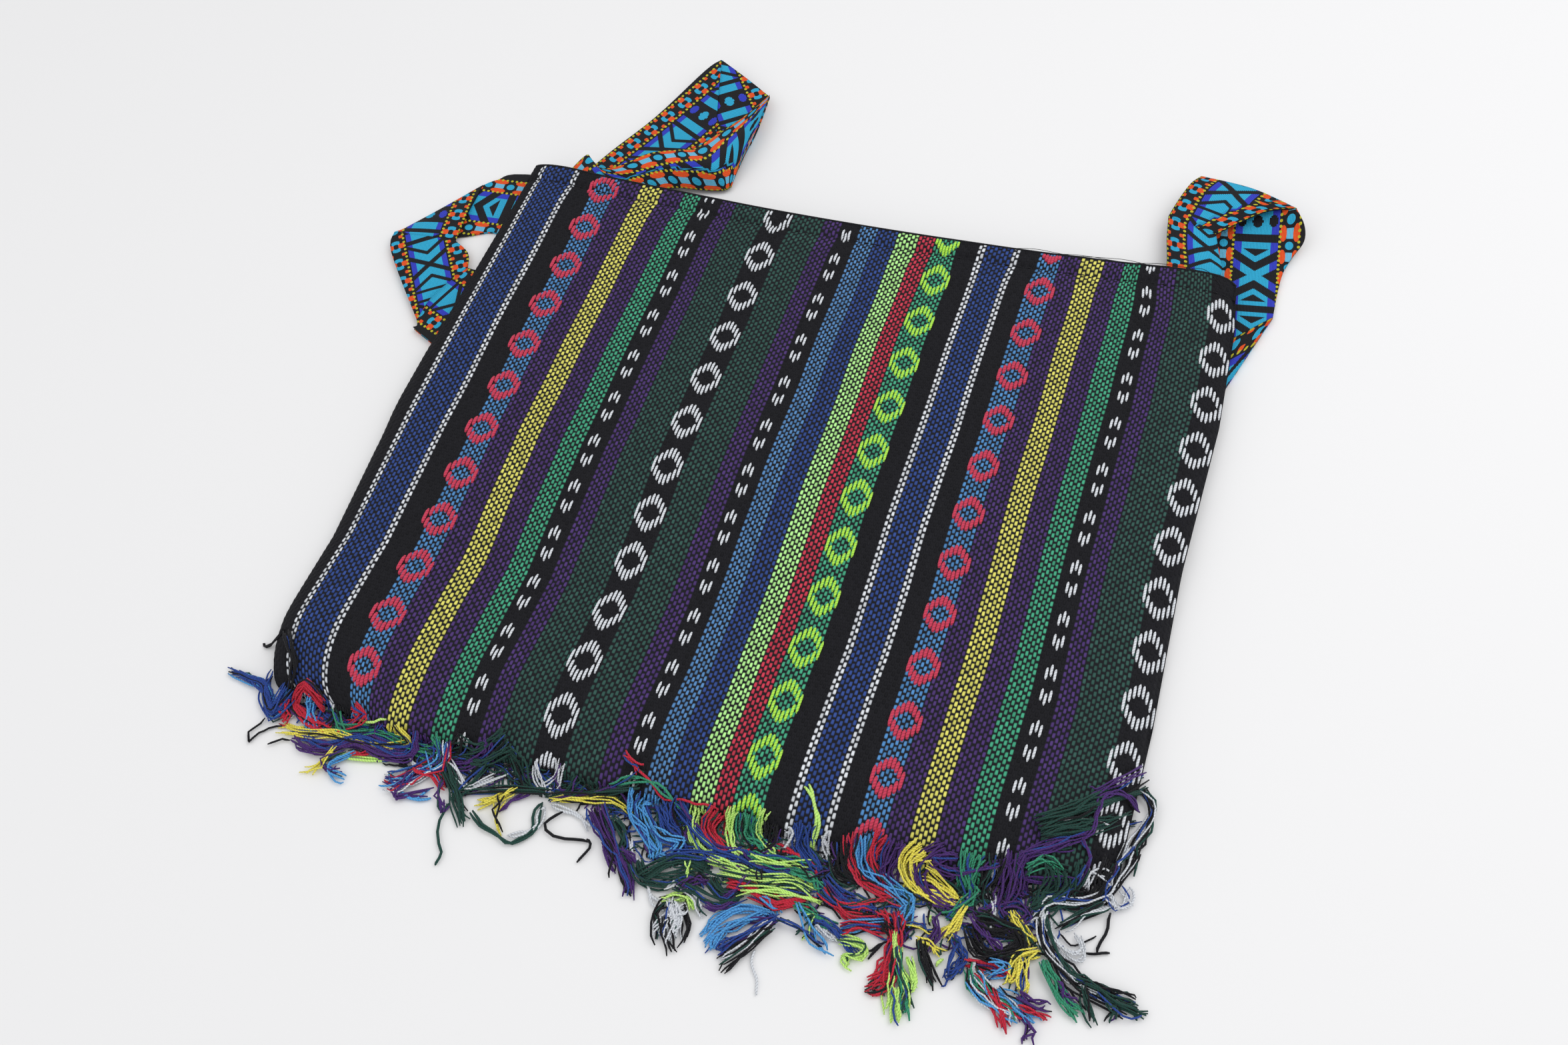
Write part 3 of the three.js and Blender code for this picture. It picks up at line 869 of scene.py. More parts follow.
def strap_pattern(run, rows, start):
    """Pattern places: share of the width and millimetres along the ribbon."""
    if "heading" in run:
        return flat_pattern(run, rows)
    shares = [k / ACROSS for k in range(ACROSS + 1)]
    placed, travelled = [], run.get("start", start)
    for i, row in enumerate(rows):
        if i:
            moves = [(a - b).length for a, b in zip(row, rows[i - 1])]
            travelled += sum(moves) / len(moves)
        if "pleat" in run:
            shares = pleat_shares(row, run["pleat"])
        placed.append([(share, travelled) for share in shares])
    return placed


def ribbon_normals(rows):
    normals = []
    for i, row in enumerate(rows):
        before, after = rows[max(i - 1, 0)], rows[min(i + 1, len(rows) - 1)]
        for k in range(ACROSS + 1):
            across = row[min(k + 1, ACROSS)] - row[max(k - 1, 0)]
            normals.append((after[k] - before[k]).cross(across).normalized())
    return normals


def ribbon_faces(tall):
    """Corners and material slot of each face of a run: both sides of the ribbon, then its rim."""
    wide = ACROSS + 1
    under = tall * wide
    faces = []
    for i in range(tall - 1):
        for k in range(ACROSS):
            quad = [i * wide + k, (i + 1) * wide + k, (i + 1) * wide + k + 1, i * wide + k + 1]
            faces.append((quad, 0))
            faces.append(([corner + under for corner in reversed(quad)], 1))
    rim = [i * wide for i in range(tall)]
    rim += [(tall - 1) * wide + k for k in range(1, wide)]
    rim += [i * wide + ACROSS for i in range(tall - 2, -1, -1)]
    rim += list(range(wide - 2, 0, -1))
    for a, b in zip(rim, rim[1:] + rim[:1]):
        faces.append(([a, a + under, b + under, b], 0))
    return faces


def strap_object(front, back):
    points, faces, uvs, slots = [], [], [], []
    travelled = 0.0
    for run in RUNS:
        rows = strap_lines(run)
        places = strap_pattern(run, rows, travelled)
        travelled = places[-1][ACROSS // 2][1]
        flat = [point for row in rows for point in row]
        spots = [spot for row in places for spot in row]
        normals = ribbon_normals(rows)
        start = len(points)
        for side in (1, -1):
            points += [point + normal * side * RIBBON / 2 for point, normal in zip(flat, normals)]
        for corners, slot in ribbon_faces(len(rows)):
            faces.append(tuple(start + corner for corner in corners))
            uvs.extend(spots[corner % len(flat)] for corner in corners)
            slots.append(slot)
    return make_object("strap_ribbon", points, faces, uvs, [front, back], slots)


# Pattern of the ribbon: its repeat along the middle, a crossing's place after a row of dots, how much the
# diagonals of a crossing climb, step of the border's flowers, and width of a thread and of a rib
CENTRE_REPEAT = 80
CROSSING = 24
LEAN = 0.72
RING_STEP = 9.8
THREAD = 0.53
RIB = 0.55
DOT_STEP = 2.05
DOT_LINES = (0.5, 7.4)

# Both faces: bars beside the dots, start of the bar between two crossings, bounds of the outer triangles from
# the diagonals and in depth, the same of the inner ones, and where the ends change colour
FRONT_FACE = {
    "bar": (5.0, 9.0), "lone": 38.2, "outer": (1.3, 5.3), "flank": -1.3, "outer depth": 13.8, "inner": 7.3,
    "inner depth": 12.8, "ends": 5.3,
}
BACK_FACE = {
    "bar": (5.3, 8.7), "lone": 38.4, "outer": (2.1, 6.2), "flank": -1.9, "outer depth": 14.5, "inner": 9.0,
    "inner depth": 12.4, "ends": 5.4,
}
SHAPES_END = 7.5


def dotted_lines(paint, outward, length):
    """Lines of small dots along both sides of a border."""
    dot = length.centred(DOT_STEP)
    for place in DOT_LINES:
        aside = outward - place
        paint.layer("dots", (aside * aside + dot * dot).below(0.3))


def oval(x, y, wide, tall):
    return ((x / wide) * (x / wide) + (y / tall) * (y / tall)).below(1)


def block(x, y, wide, tall):
    """A rectangle with round corners."""
    x, y = (x / wide) * (x / wide), (y / tall) * (y / tall)
    return (x * x + y * y).below(1)


def thread_place(share):
    """Distance from the middle of the ribbon to the middle of a thread, so that slants climb in steps."""
    return (((share - 0.5).size() * STRAP_WIDTH / THREAD).floor() + 0.5) * THREAD


def centre_places(share, length):
    """Distances from the ribbon's middle, a row of dots, a crossing and the crossing's diagonals."""
    side = thread_place(share)
    step = length.centred(CENTRE_REPEAT).size()
    depth = (step - CROSSING).size()
    return side, step, depth, depth - side * LEAN


def centre_shapes(step, depth, slant, face):
    """Bars, and nested triangles round the crossing of two diagonals."""
    bar = step.between(*face["bar"]).either(step.above(face["lone"]))
    outer = slant.between(*face["outer"]).either(slant.below(face["flank"]))
    outer = outer.both(depth.below(face["outer depth"]))
    inner = slant.above(face["inner"]).both(depth.below(face["inner depth"]))
    return bar.either(outer).either(inner)


def centre_dots(side, step):
    """A row of three dots across the ribbon: the one in the middle and the two beside it."""
    return oval(side, step, 1.9, 2.5), oval(side - 5.8, step, 1.6, 2.3)


def border_places(share, length):
    """Distances out from the start of a border, from its middle and from a flower along it."""
    outward = (share - 0.5).size() * STRAP_WIDTH - BORDER
    return outward, outward - BORDER / 2, length.centred(RING_STEP)


def ribbon_front():
    paint = Paint("ribbon_front", RIBBON_ROUGHNESS)
    share, length = paint.yarn()
    side, step, depth, slant = centre_places(share, length)
    paint.colour = COLOURS["black"]
    shapes = centre_shapes(step, depth, slant, FRONT_FACE).both(side.below(SHAPES_END))
    paint.layer("turquoise", shapes)
    paint.layer("royal", shapes.both(side.above(FRONT_FACE["ends"])))
    middle, beside = centre_dots(side, step)
    paint.layer("turquoise", middle)
    paint.layer("royal", beside)
    # Border: rings of orange and turquoise
    outward, aside, ring = border_places(share, length)
    border = outward.above(0)
    petals = (aside * aside + ring * ring).between(1.7, 9.6).both(aside.size().below(1.7))
    paint.layer("turquoise", border.both(petals))
    paint.layer("orange", border.both(block(aside.size() - 2.35, ring, 1.35, 1.3)))
    paint.layer("orange", border.both(block(aside.size() - 2.6, ring.size() - 4.9, 0.85, 0.8)))
    dotted_lines(paint, outward, length)
    return ribbon_threads_with_painted_shade(paint, share, length)


def ribbon_back():
    """The front's black is blue here, and its blue is black."""
    paint = Paint("ribbon_back", RIBBON_ROUGHNESS)
    share, length = paint.yarn()
    side, step, depth, slant = centre_places(share, length)
    paint.colour = COLOURS["turquoise"]
    paint.layer("royal", side.above(BACK_FACE["ends"]))
    middle, beside = centre_dots(side, step)
    shapes = centre_shapes(step, depth, slant, BACK_FACE)
    paint.layer("black", shapes.either(middle).either(beside))
    outward, aside, ring = border_places(share, length)
    aside = aside.size()
    border = outward.above(0)
    paint.layer("black", border)
    paint.layer("turquoise", border.both(oval(aside, ring, 1.5, 1.7)))
    paint.layer("pale", border.both(aside.below(1.2)).both(ring.size().above(2.9)))
    paint.layer("orange", border.both(oval(aside - 2.4, ring.size() - 4.9, 1.25, 3.2)))
    dotted_lines(paint, outward, length)
    return ribbon_threads_with_painted_shade(paint, share, length)


def ribbon_threads_with_painted_shade(paint, share, length):
    """Ribs of the ribbon's threads and finer ones of its filling, as painted shade between them and as bumps.
    """
    rib = (length / RIB).fract() - 0.5
    thread = ((share - 0.5) * STRAP_WIDTH / THREAD).fract() - 0.5
    # Painted shade darkens the ribbon in the grooves between its threads and ribs.
    paint.shade((rib * rib * 0.3 + thread * thread) * -0.9 + 1.08)
    paint.bump((rib * rib * 0.4 + thread * thread) * -3, 0.0003, 0.6)
    return paint.done()


# Bunches of the fringe: colours, number of yarns, spread at the start and at the tip in millimetres,
# and the way of the bunch on the plan, from the foot of the cloth or the knot that it leaves.
# Its points are places across and below a level line, which is this far below the middle of the bag.
FRINGE_LINE = 100
BUNCHES = [
    ("navy navy blue", 14, 6, 3, [(-135, 21), (-139, 28), (-143, 25), (-148, 20), (-154, 19), (-161, 18)]),
    ("navy", 8, 6, 4, [(-135, 22), (-138, 30), (-143, 25), (-145, 21), (-147, 16)]),
    ("black", 1, 0, 0, [(-141, 32), (-144, 38), (-142, 41), (-139, 37), (-134, 34)]),
    ("black", 1, 0, 0, [(-135, 40), (-132, 37), (-127, 36)]),
    ("black", 2, 1, 1, [(-147, 1), (-152, 5), (-157, 5)]),
    ("black", 5, 3, 2, [(-143, 3), (-137, 11), (-135, 18), (-138, 22), (-138, 25)]),
    ("red", 14, 3, 5, [(-121, 23), (-129, 19), (-133, 23), (-131, 26), (-123, 29), (-118, 29)]),
    ("red", 5, 2, 3, [(-135, 24), (-135, 27), (-133, 30), (-135, 30)]),
    ("red", 6, 4, 3, [(-109, 22), (-105, 24), (-110, 27), (-114, 28)]),
    ("sky", 5, 2, 3, [(-126, 22), (-127, 24), (-125, 28), (-123, 32)]),
    ("yellow", 9, 3, 3, [(-92, 25), (-87, 27), (-98, 31), (-113, 31), (-123, 32), (-134, 34)]),
    ("purple", 14, 6, 5, [(-86, 25), (-85, 30), (-92, 32), (-105, 31), (-114, 36), (-122, 36), (-128, 34)]),
    ("purple", 3, 1, 2, [(-107, 36), (-113, 41), (-110, 43), (-106, 42)]),
    ("green", 10, 6, 3, [(-79, 25), (-75, 28), (-87, 28), (-100, 27), (-110, 30), (-117, 24)]),
    ("green", 6, 3, 2, [(-103, 26), (-113, 28), (-116, 24)]),
    ("lime", 1, 0, 0, [(-110, 25), (-104, 25), (-97, 24)]),
    ("yellow", 3, 1, 2, [(-111, 36), (-113, 42), (-116, 45)]),
    ("sky", 3, 1, 1, [(-104, 35), (-110, 41), (-108, 44), (-104, 45)]),
    ("red", 3, 2, 1, [(-105, 36), (-101, 35), (-98, 33)]),
    ("lime", 2, 1, 1, [(-112, 37), (-105, 37), (-89, 33)]),
    ("red white sky purple", 18, 8, 9, [(-75, 25), (-74, 31), (-80, 36), (-85, 41), (-90, 41)]),
    ("purple", 4, 3, 2, [(-82, 37), (-84, 44), (-82, 46), (-74, 41)]),
    ("sky", 2, 1, 1, [(-84, 44), (-76, 45), (-72, 43)]),
    ("purple", 3, 1, 1, [(-70, 37), (-70, 42), (-66, 46), (-66, 44)]),
    ("red", 6, 3, 4, [(-81, 35), (-74, 35), (-70, 38)]),
    ("sky", 4, 3, 3, [(-79, 28), (-74, 32), (-70, 37)]),
    ("white", 2, 1, 1, [(-87, 30), (-81, 35), (-76, 32)]),
    ("white", 3, 1, 2, [(-71, 30), (-64, 35), (-59, 35), (-50, 28)]),
    ("black", 6, 5, 3, [(-67, 23), (-69, 26), (-74, 29)]),
    ("pine", 14, 9, 5, [(-52, 20), (-60, 26), (-68, 26), (-75, 28)]),
    ("pine", 9, 4, 3, [(-74, 28), (-67, 36), (-63, 42), (-57, 48)]),
    ("pine", 1, 0, 0, [(-65, 43), (-65, 51), (-61, 60), (-61, 63)]),
    ("pine", 6, 4, 3, [(-51, 22), (-47, 26), (-41, 31), (-35, 31)]),
    ("pine", 6, 3, 4, [(-58, 26), (-62, 37), (-66, 40)]),
    ("pine", 4, 3, 3, [(-34, 31), (-51, 35), (-63, 38)]),
    ("purple", 6, 5, 3, [(-59, 22), (-60, 25), (-66, 29), (-71, 30)]),
    ("pine", 2, 1, 1, [(-57, 44), (-49, 48), (-42, 50), (-35, 47), (-34, 40), (-35, 33)]),
    ("white", 2, 1, 1, [(-42, 49), (-36, 45), (-33, 40), (-33, 36)]),
    ("yellow", 6, 2, 3, [(-45, 33), (-51, 38), (-56, 41)]),
    ("yellow", 3, 1, 1, [(-48, 37), (-49, 42), (-45, 48)]),
    ("purple", 2, 1, 1, [(-40, 33), (-45, 36), (-47, 40)]),
    ("white", 4, 3, 2, [(-32, 22), (-34, 27), (-37, 31)]),
    ("white", 3, 2, 2, [(-41, 24), (-39, 28), (-36, 31)]),
    ("white", 2, 1, 1, [(-32, 35), (-23, 35), (-17, 39)]),
    ("black", 1, 0, 0, [(-26, 36), (-32, 42), (-23, 43), (-16, 43)]),
    ("black", 1, 0, 0, [(-16, 43), (-14, 46), (-17, 50)]),
    ("pine", 6, 5, 3, [(-5, 22), (-18, 27), (-34, 31)]),
    ("pine", 5, 6, 4, [(-25, 25), (-28, 30), (-32, 33)]),
    ("yellow", 6, 3, 3, [(-32, 33), (-22, 30), (-12, 27), (-3, 31)]),
    ("red", 3, 1, 1, [(-11, 16), (-8, 17), (-5, 19)]),
    ("green", 1, 0, 0, [(-5, 21), (-10, 23), (-15, 25)]),
    ("purple", 14, 7, 4, [(-17, 32), (-12, 38), (-6, 44), (0, 49), (4, 56)]),
    ("purple", 4, 2, 3, [(-10, 42), (-7, 47), (-4, 51)]),
    ("purple", 3, 2, 2, [(-4, 43), (1, 45), (5, 47)]),
    ("black", 2, 1, 1, [(-5, 45), (0, 52), (4, 56)]),
    ("pine", 5, 3, 2, [(-10, 34), (-4, 39), (-5, 43)]),
    ("blue sky", 14, 8, 5, [(-3, 25), (-4, 29), (1, 34), (6, 39), (7, 43)]),
    ("navy", 12, 8, 5, [(5, 25), (7, 30), (12, 34), (16, 38)]),
    ("navy sky", 6, 3, 3, [(4, 34), (8, 36), (13, 36), (12, 40), (7, 42)]),
    ("navy", 7, 3, 3, [(9, 25), (16, 30), (25, 34), (34, 34), (43, 37), (55, 35)]),
    ("navy", 5, 3, 3, [(11, 41), (21, 38), (31, 36), (37, 36)]),
    ("white", 2, 1, 1, [(-3, 39), (1, 45), (6, 45), (11, 42), (17, 44)]),
    ("green", 2, 1, 1, [(-15, 25), (-10, 22), (-2, 21), (6, 23), (15, 26), (25, 31), (32, 29)]),
    ("red", 1, 0, 0, [(-11, 16), (-3, 20), (4, 24), (10, 24), (14, 23), (18, 22), (20, 24), (18, 28)]),
    ("red", 2, 1, 1, [(18, 28), (26, 33), (33, 34), (41, 29), (48, 29), (54, 31), (60, 35)]),
    ("lime", 3, 2, 2, [(15, 28), (16, 34), (21, 37), (27, 37)]),
    ("lime", 5, 5, 3, [(15, 25), (16, 31), (23, 36), (31, 35)]),
    ("lime", 5, 3, 3, [(28, 23), (27, 27), (30, 33), (35, 35)]),
    ("lime", 4, 3, 2, [(38, 21), (37, 26), (42, 31), (45, 32)]),
    ("green", 12, 8, 4, [(33, 23), (33, 27), (38, 30), (44, 32)]),
    ("lime", 7, 4, 4, [(24, 39), (32, 39), (38, 40), (46, 40)]),
    ("lime", 6, 3, 3, [(37, 35), (45, 34), (55, 32)]),
    ("lime", 8, 4, 4, [(29, 42), (42, 41), (52, 38), (61, 40)]),
    ("lime", 6, 3, 3, [(37, 46), (48, 43), (62, 42)]),
    ("green", 6, 3, 3, [(36, 34), (45, 33), (54, 31)]),
    ("green", 5, 3, 2, [(51, 35), (57, 36), (61, 37), (62, 40)]),
    ("red", 9, 6, 4, [(23, 24), (21, 29), (26, 33), (30, 34)]),
    ("red", 7, 4, 3, [(33, 45), (41, 44), (50, 47), (59, 42)]),
    ("red", 5, 3, 3, [(41, 46), (49, 47), (59, 42)]),
    ("black", 8, 6, 4, [(41, 24), (41, 28), (38, 32), (37, 36)]),
    ("white", 2, 1, 1, [(46, 24), (48, 25), (45, 28)]),
    ("navy", 8, 7, 4, [(51, 22), (51, 26), (55, 30), (60, 33)]),
    ("white", 2, 1, 1, [(58, 23), (60, 27), (63, 31)]),
    ("lime", 2, 1, 1, [(49, 10), (53, 15), (55, 21), (54, 26), (54, 31)]),
    ("pine", 8, 5, 4, [(6, 50), (11, 44), (17, 41), (25, 41)]),
    ("pine", 8, 5, 5, [(27, 45), (32, 48), (36, 44), (36, 39)]),
    ("pine", 8, 5, 5, [(2, 46), (6, 50), (14, 49), (20, 45), (25, 47)]),
    ("pine", 6, 4, 4, [(17, 49), (26, 51), (34, 51), (37, 47)]),
    ("purple", 4, 2, 2, [(38, 41), (35, 47), (31, 49)]),
    ("purple", 6, 3, 3, [(19, 50), (23, 46), (26, 45)]),
    ("purple", 3, 2, 2, [(28, 53), (33, 53), (37, 48)]),
    ("white", 3, 2, 2, [(14, 51), (19, 49), (24, 52), (28, 56)]),
    ("white", 2, 1, 1, [(8, 50), (10, 55), (17, 58)]),
    ("lime", 4, 2, 3, [(14, 55), (19, 53), (22, 53), (25, 57)]),
    ("lime", 3, 2, 2, [(19, 41), (19, 44), (19, 47)]),
    ("black", 4, 2, 4, [(16, 55), (14, 60), (17, 67)]),
    ("black", 4, 2, 4, [(21, 55), (25, 60), (25, 66)]),
    ("black", 3, 3, 4, [(18, 60), (19, 65), (23, 69)]),
    ("white", 14, 3, 8, [(18, 55), (20, 60), (21, 66)]),
    ("white", 8, 3, 5, [(23, 56), (18, 60), (16, 65)]),
    ("sky", 6, 2, 3, [(48, 50), (39, 51), (33, 56), (30, 62)]),
    ("sky", 6, 2, 3, [(47, 51), (39, 56), (35, 61), (34, 66)]),
    ("purple", 4, 2, 2, [(50, 51), (43, 54), (35, 59)]),
    ("navy", 6, 2, 3, [(51, 51), (44, 58), (38, 63), (37, 66)]),
    ("black", 3, 2, 2, [(51, 54), (43, 60), (38, 66)]),
    ("white", 5, 2, 3, [(49, 53), (44, 61), (38, 68)]),
    ("black", 4, 2, 3, [(50, 55), (44, 64), (39, 71)]),
    ("sky", 6, 3, 3, [(45, 46), (48, 48), (50, 50)]),
    ("black", 6, 3, 3, [(41, 38), (43, 43), (48, 49)]),
    ("white", 1, 0, 0, [(47, 62), (47, 66), (50, 71), (52, 75)]),
    ("navy", 3, 1, 1, [(51, 51), (58, 52), (64, 54), (66, 56)]),
    ("sky", 3, 2, 1, [(56, 45), (60, 49), (65, 54), (69, 57)]),
    ("lime", 3, 2, 2, [(59, 48), (62, 47), (61, 52), (59, 55)]),
    ("white", 3, 2, 2, [(63, 50), (66, 51), (70, 53)]),
    ("navy", 5, 3, 3, [(62, 48), (69, 50), (77, 55)]),
    ("lime", 5, 3, 3, [(71, 52), (79, 52), (79, 55), (74, 57), (76, 59)]),
    ("green", 5, 3, 3, [(55, 46), (61, 47), (70, 49)]),
    ("black", 2, 1, 1, [(85, 49), (81, 55)]),
    ("navy", 9, 5, 4, [(61, 35), (67, 39), (73, 39)]),
    ("navy red", 9, 4, 4, [(62, 39), (69, 42), (78, 39)]),
    ("red", 4, 2, 2, [(82, 36), (77, 38), (74, 41)]),
    ("red", 4, 2, 2, [(67, 42), (73, 44), (83, 42)]),
    ("red sky navy", 9, 4, 5, [(71, 49), (77, 46), (86, 44)]),
    ("black", 8, 7, 4, [(63, 24), (64, 28), (62, 32), (60, 35)]),
    ("red pink", 8, 6, 3, [(67, 21), (68, 27), (73, 32), (81, 34), (87, 35)]),
    ("sky", 8, 6, 3, [(71, 21), (72, 27), (79, 31), (88, 34), (88, 40), (87, 45)]),
    ("red", 7, 5, 3, [(76, 19), (74, 24), (77, 28), (82, 32)]),
    ("purple", 9, 7, 4, [(81, 20), (80, 24), (79, 28), (84, 32)]),
    ("red", 6, 2, 3, [(81, 40), (85, 43), (87, 50), (87, 56), (85, 62)]),
    ("red", 6, 2, 3, [(86, 39), (88, 44), (87, 51), (88, 59), (83, 65)]),
    ("red", 5, 2, 3, [(87, 45), (89, 51), (88, 57), (85, 61)]),
    ("red", 5, 2, 3, [(88, 51), (90, 59), (88, 64), (84, 65)]),
    ("red", 4, 2, 2, [(89, 54), (90, 60), (89, 64)]),
    ("lime", 6, 2, 3, [(87, 46), (90, 53), (94, 59), (97, 65)]),
    ("green", 7, 2, 3, [(89, 50), (92, 57), (95, 63), (96, 68)]),
    ("lime", 4, 2, 2, [(89, 58), (90, 63), (91, 68)]),
    ("lime", 5, 2, 3, [(92, 62), (93, 66), (94, 71)]),
    ("lime", 4, 2, 2, [(93, 52), (96, 57), (97, 61)]),
    ("black", 7, 4, 4, [(83, 44), (86, 45), (89, 45), (87, 47)]),
    ("white", 3, 1, 2, [(59, 22), (58, 26), (64, 31)]),
    ("black", 10, 7, 4, [(63, 26), (66, 32), (72, 33)]),
    ("yellow", 10, 8, 5, [(89, 20), (85, 24), (88, 29), (94, 31), (104, 32)]),
    ("yellow", 7, 4, 4, [(91, 25), (97, 27), (104, 31)]),
    ("purple", 9, 7, 4, [(96, 19), (89, 24), (91, 29), (98, 32), (108, 34)]),
    ("purple", 4, 2, 2, [(100, 20), (94, 21), (93, 23), (99, 24), (107, 21), (112, 18), (117, 18)]),
    ("purple", 4, 2, 2, [(117, 18), (120, 22), (122, 25)]),
    ("purple", 2, 1, 1, [(113, 21), (115, 23), (113, 29), (108, 34)]),
    ("green", 13, 8, 5, [(104, 18), (104, 24), (106, 27)]),
    ("green", 5, 3, 3, [(106, 25), (106, 29), (102, 35), (99, 37)]),
    ("white", 2, 1, 1, [(112, 19), (111, 24), (113, 27), (115, 34), (114, 40)]),
    ("white", 2, 1, 1, [(105, 29), (107, 27), (110, 27)]),
    ("black", 6, 6, 4, [(111, 16), (111, 22), (109, 26), (112, 30)]),
    ("black", 1, 0, 0, [(119, 24), (126, 22), (133, 22)]),
    ("yellow", 6, 3, 4, [(105, 32), (103, 39), (100, 43)]),
    ("yellow", 4, 2, 2, [(90, 42), (96, 42), (99, 43)]),
    ("yellow", 4, 2, 2, [(94, 46), (98, 46), (102, 47)]),
    ("purple", 4, 2, 2, [(97, 38), (99, 42), (98, 48)]),
    ("black", 9, 3, 5, [(95, 46), (98, 51), (102, 57)]),
    ("navy", 4, 2, 2, [(104, 42), (108, 46), (108, 50), (106, 53), (106, 56)]),
    ("navy", 3, 1, 1, [(106, 45), (105, 53), (109, 50)]),
    ("lime", 2, 1, 1, [(96, 37), (95, 40)]),
    ("lime", 2, 1, 1, [(103, 49), (102, 52)]),
    ("black", 7, 5, 5, [(108, 38), (113, 44), (120, 43), (124, 38), (118, 36), (113, 40)]),
    ("black", 6, 5, 5, [(110, 35), (116, 35), (123, 35), (123, 41), (116, 44), (110, 42)]),
    ("purple", 3, 3, 3, [(108, 34), (113, 38), (119, 42), (121, 47)]),
    ("purple", 9, 7, 3, [(117, 14), (117, 20), (116, 26), (117, 32)]),
    ("yellow", 6, 3, 3, [(119, 30), (123, 34), (129, 38)]),
    ("purple", 4, 2, 2, [(118, 32), (116, 30), (121, 27), (124, 29), (121, 33)]),
    ("yellow", 7, 3, 4, [(130, 40), (125, 43), (124, 47), (124, 51)]),
    ("yellow", 8, 3, 6, [(126, 43), (127, 49), (127, 53)]),
    ("red", 5, 2, 3, [(110, 48), (115, 48), (123, 49)]),
    ("sky", 5, 2, 3, [(117, 46), (122, 47), (116, 51)]),
    ("white", 3, 1, 2, [(112, 48), (113, 51), (115, 51)]),
    ("sky red white green", 14, 6, 6, [(113, 52), (118, 56), (125, 58), (129, 60)]),
    ("sky", 5, 2, 2, [(121, 54), (126, 55), (131, 57)]),
    ("red", 6, 2, 4, [(119, 55), (123, 60), (126, 64)]),
    ("sky", 3, 1, 2, [(126, 58), (131, 59), (133, 60)]),
    ("purple", 5, 2, 2, [(127, 54), (132, 56), (136, 55)]),
    ("purple", 3, 1, 1, [(129, 59), (133, 62), (133, 66)]),
    ("red", 3, 1, 1, [(128, 57), (133, 58), (137, 58)]),
    ("green", 5, 3, 3, [(111, 50), (113, 55), (118, 58)]),
    ("white black", 9, 6, 3, [(150, 1), (148, 8), (146, 15), (140, 21), (130, 24), (127, 28), (126, 32)]),
    ("pine white black", 9, 5, 4, [(146, 20), (140, 25), (134, 30)]),
    ("white", 3, 1, 1, [(129, 27), (131, 33), (138, 38), (143, 36), (138, 30)]),
    ("white black pine", 14, 4, 6, [(129, 29), (131, 36), (139, 43), (146, 46), (160, 49)]),
    ("pine black", 6, 2, 3, [(145, 45), (153, 46), (160, 46)]),
    ("pine", 5, 2, 3, [(149, 47), (157, 49), (163, 49)]),
    ("pine", 5, 2, 3, [(145, 46), (147, 51), (149, 55)]),
    ("pine", 5, 2, 3, [(153, 49), (155, 50), (155, 54)]),
    ("green", 8, 3, 5, [(132, 42), (136, 47), (141, 52), (145, 55)]),
    ("purple", 4, 2, 2, [(138, 47), (140, 50), (144, 51)]),
    ("white black", 6, 3, 3, [(149, -19), (153, -14), (152, -6), (150, 1), (149, 8)]),
    ("white", 4, 2, 2, [(139, 17), (140, 13), (145, 12), (146, 14)]),
    ("white", 5, 3, 3, [(146, 17), (149, 20), (152, 17), (150, 13)]),
    ("black", 3, 1, 1, [(139, 17), (135, 18), (136, 20), (140, 20)]),
    ("pine", 12, 5, 5, [(121, 4), (131, -3), (139, -10), (150, -21)]),
    ("pine", 12, 4, 4, [(123, 7), (130, 3), (138, -1), (148, -9)]),
    ("white", 1, 0, 0, [(126, 1), (133, -1), (141, -3)]),
    ("purple", 3, 2, 2, [(148, -26), (143, -18), (137, -12), (134, -9)]),
    ("purple", 3, 2, 1,
     [(149, -12), (146, -13), (142, -13), (138, -10), (137, -5), (136, 2), (125, 9), (118, 15), (118, 20)]),
    ("purple", 3, 1, 1, [(135, 5), (138, 9), (137, 15), (130, 17), (120, 20)]),
    ("purple", 5, 3, 2, [(132, 7), (126, 10), (119, 15), (118, 19)]),
    ("green", 6, 3, 3, [(121, 18), (125, 14), (132, 15)]),
    ("pine", 12, 9, 5, [(130, 15), (130, 19), (127, 23), (125, 27)]),
    ("pine", 8, 5, 4, [(137, 12), (136, 18), (132, 23), (128, 26)]),
    ("black", 8, 6, 4, [(145, 8), (144, 13), (142, 19), (136, 23)]),
    ("black", 1, 0, 0, [(148, 22), (148, 29), (145, 33)]),
    ("black", 1, 0, 0, [(143, 36), (147, 35), (150, 33)]),
]


def ground(x, y):
    """Height of what lies under a yarn: the cloth or the floor."""
    above = y + HEIGHT / 2
    if above <= foot(x) or edge_distance(x, above) <= 0:
        return 0.0
    return front_height(x, y, above)


# Radius of the yarns, points along one for each place that it passes, how it lies and how far its tip sinks
YARN = 0.33
COARSE_YARN = 0.48
END_YARN = 0.4
YARN_STEPS = 3
YARN_HEIGHT = 0.4
TIP_SINK = 0.75
LOOSE = 0.7


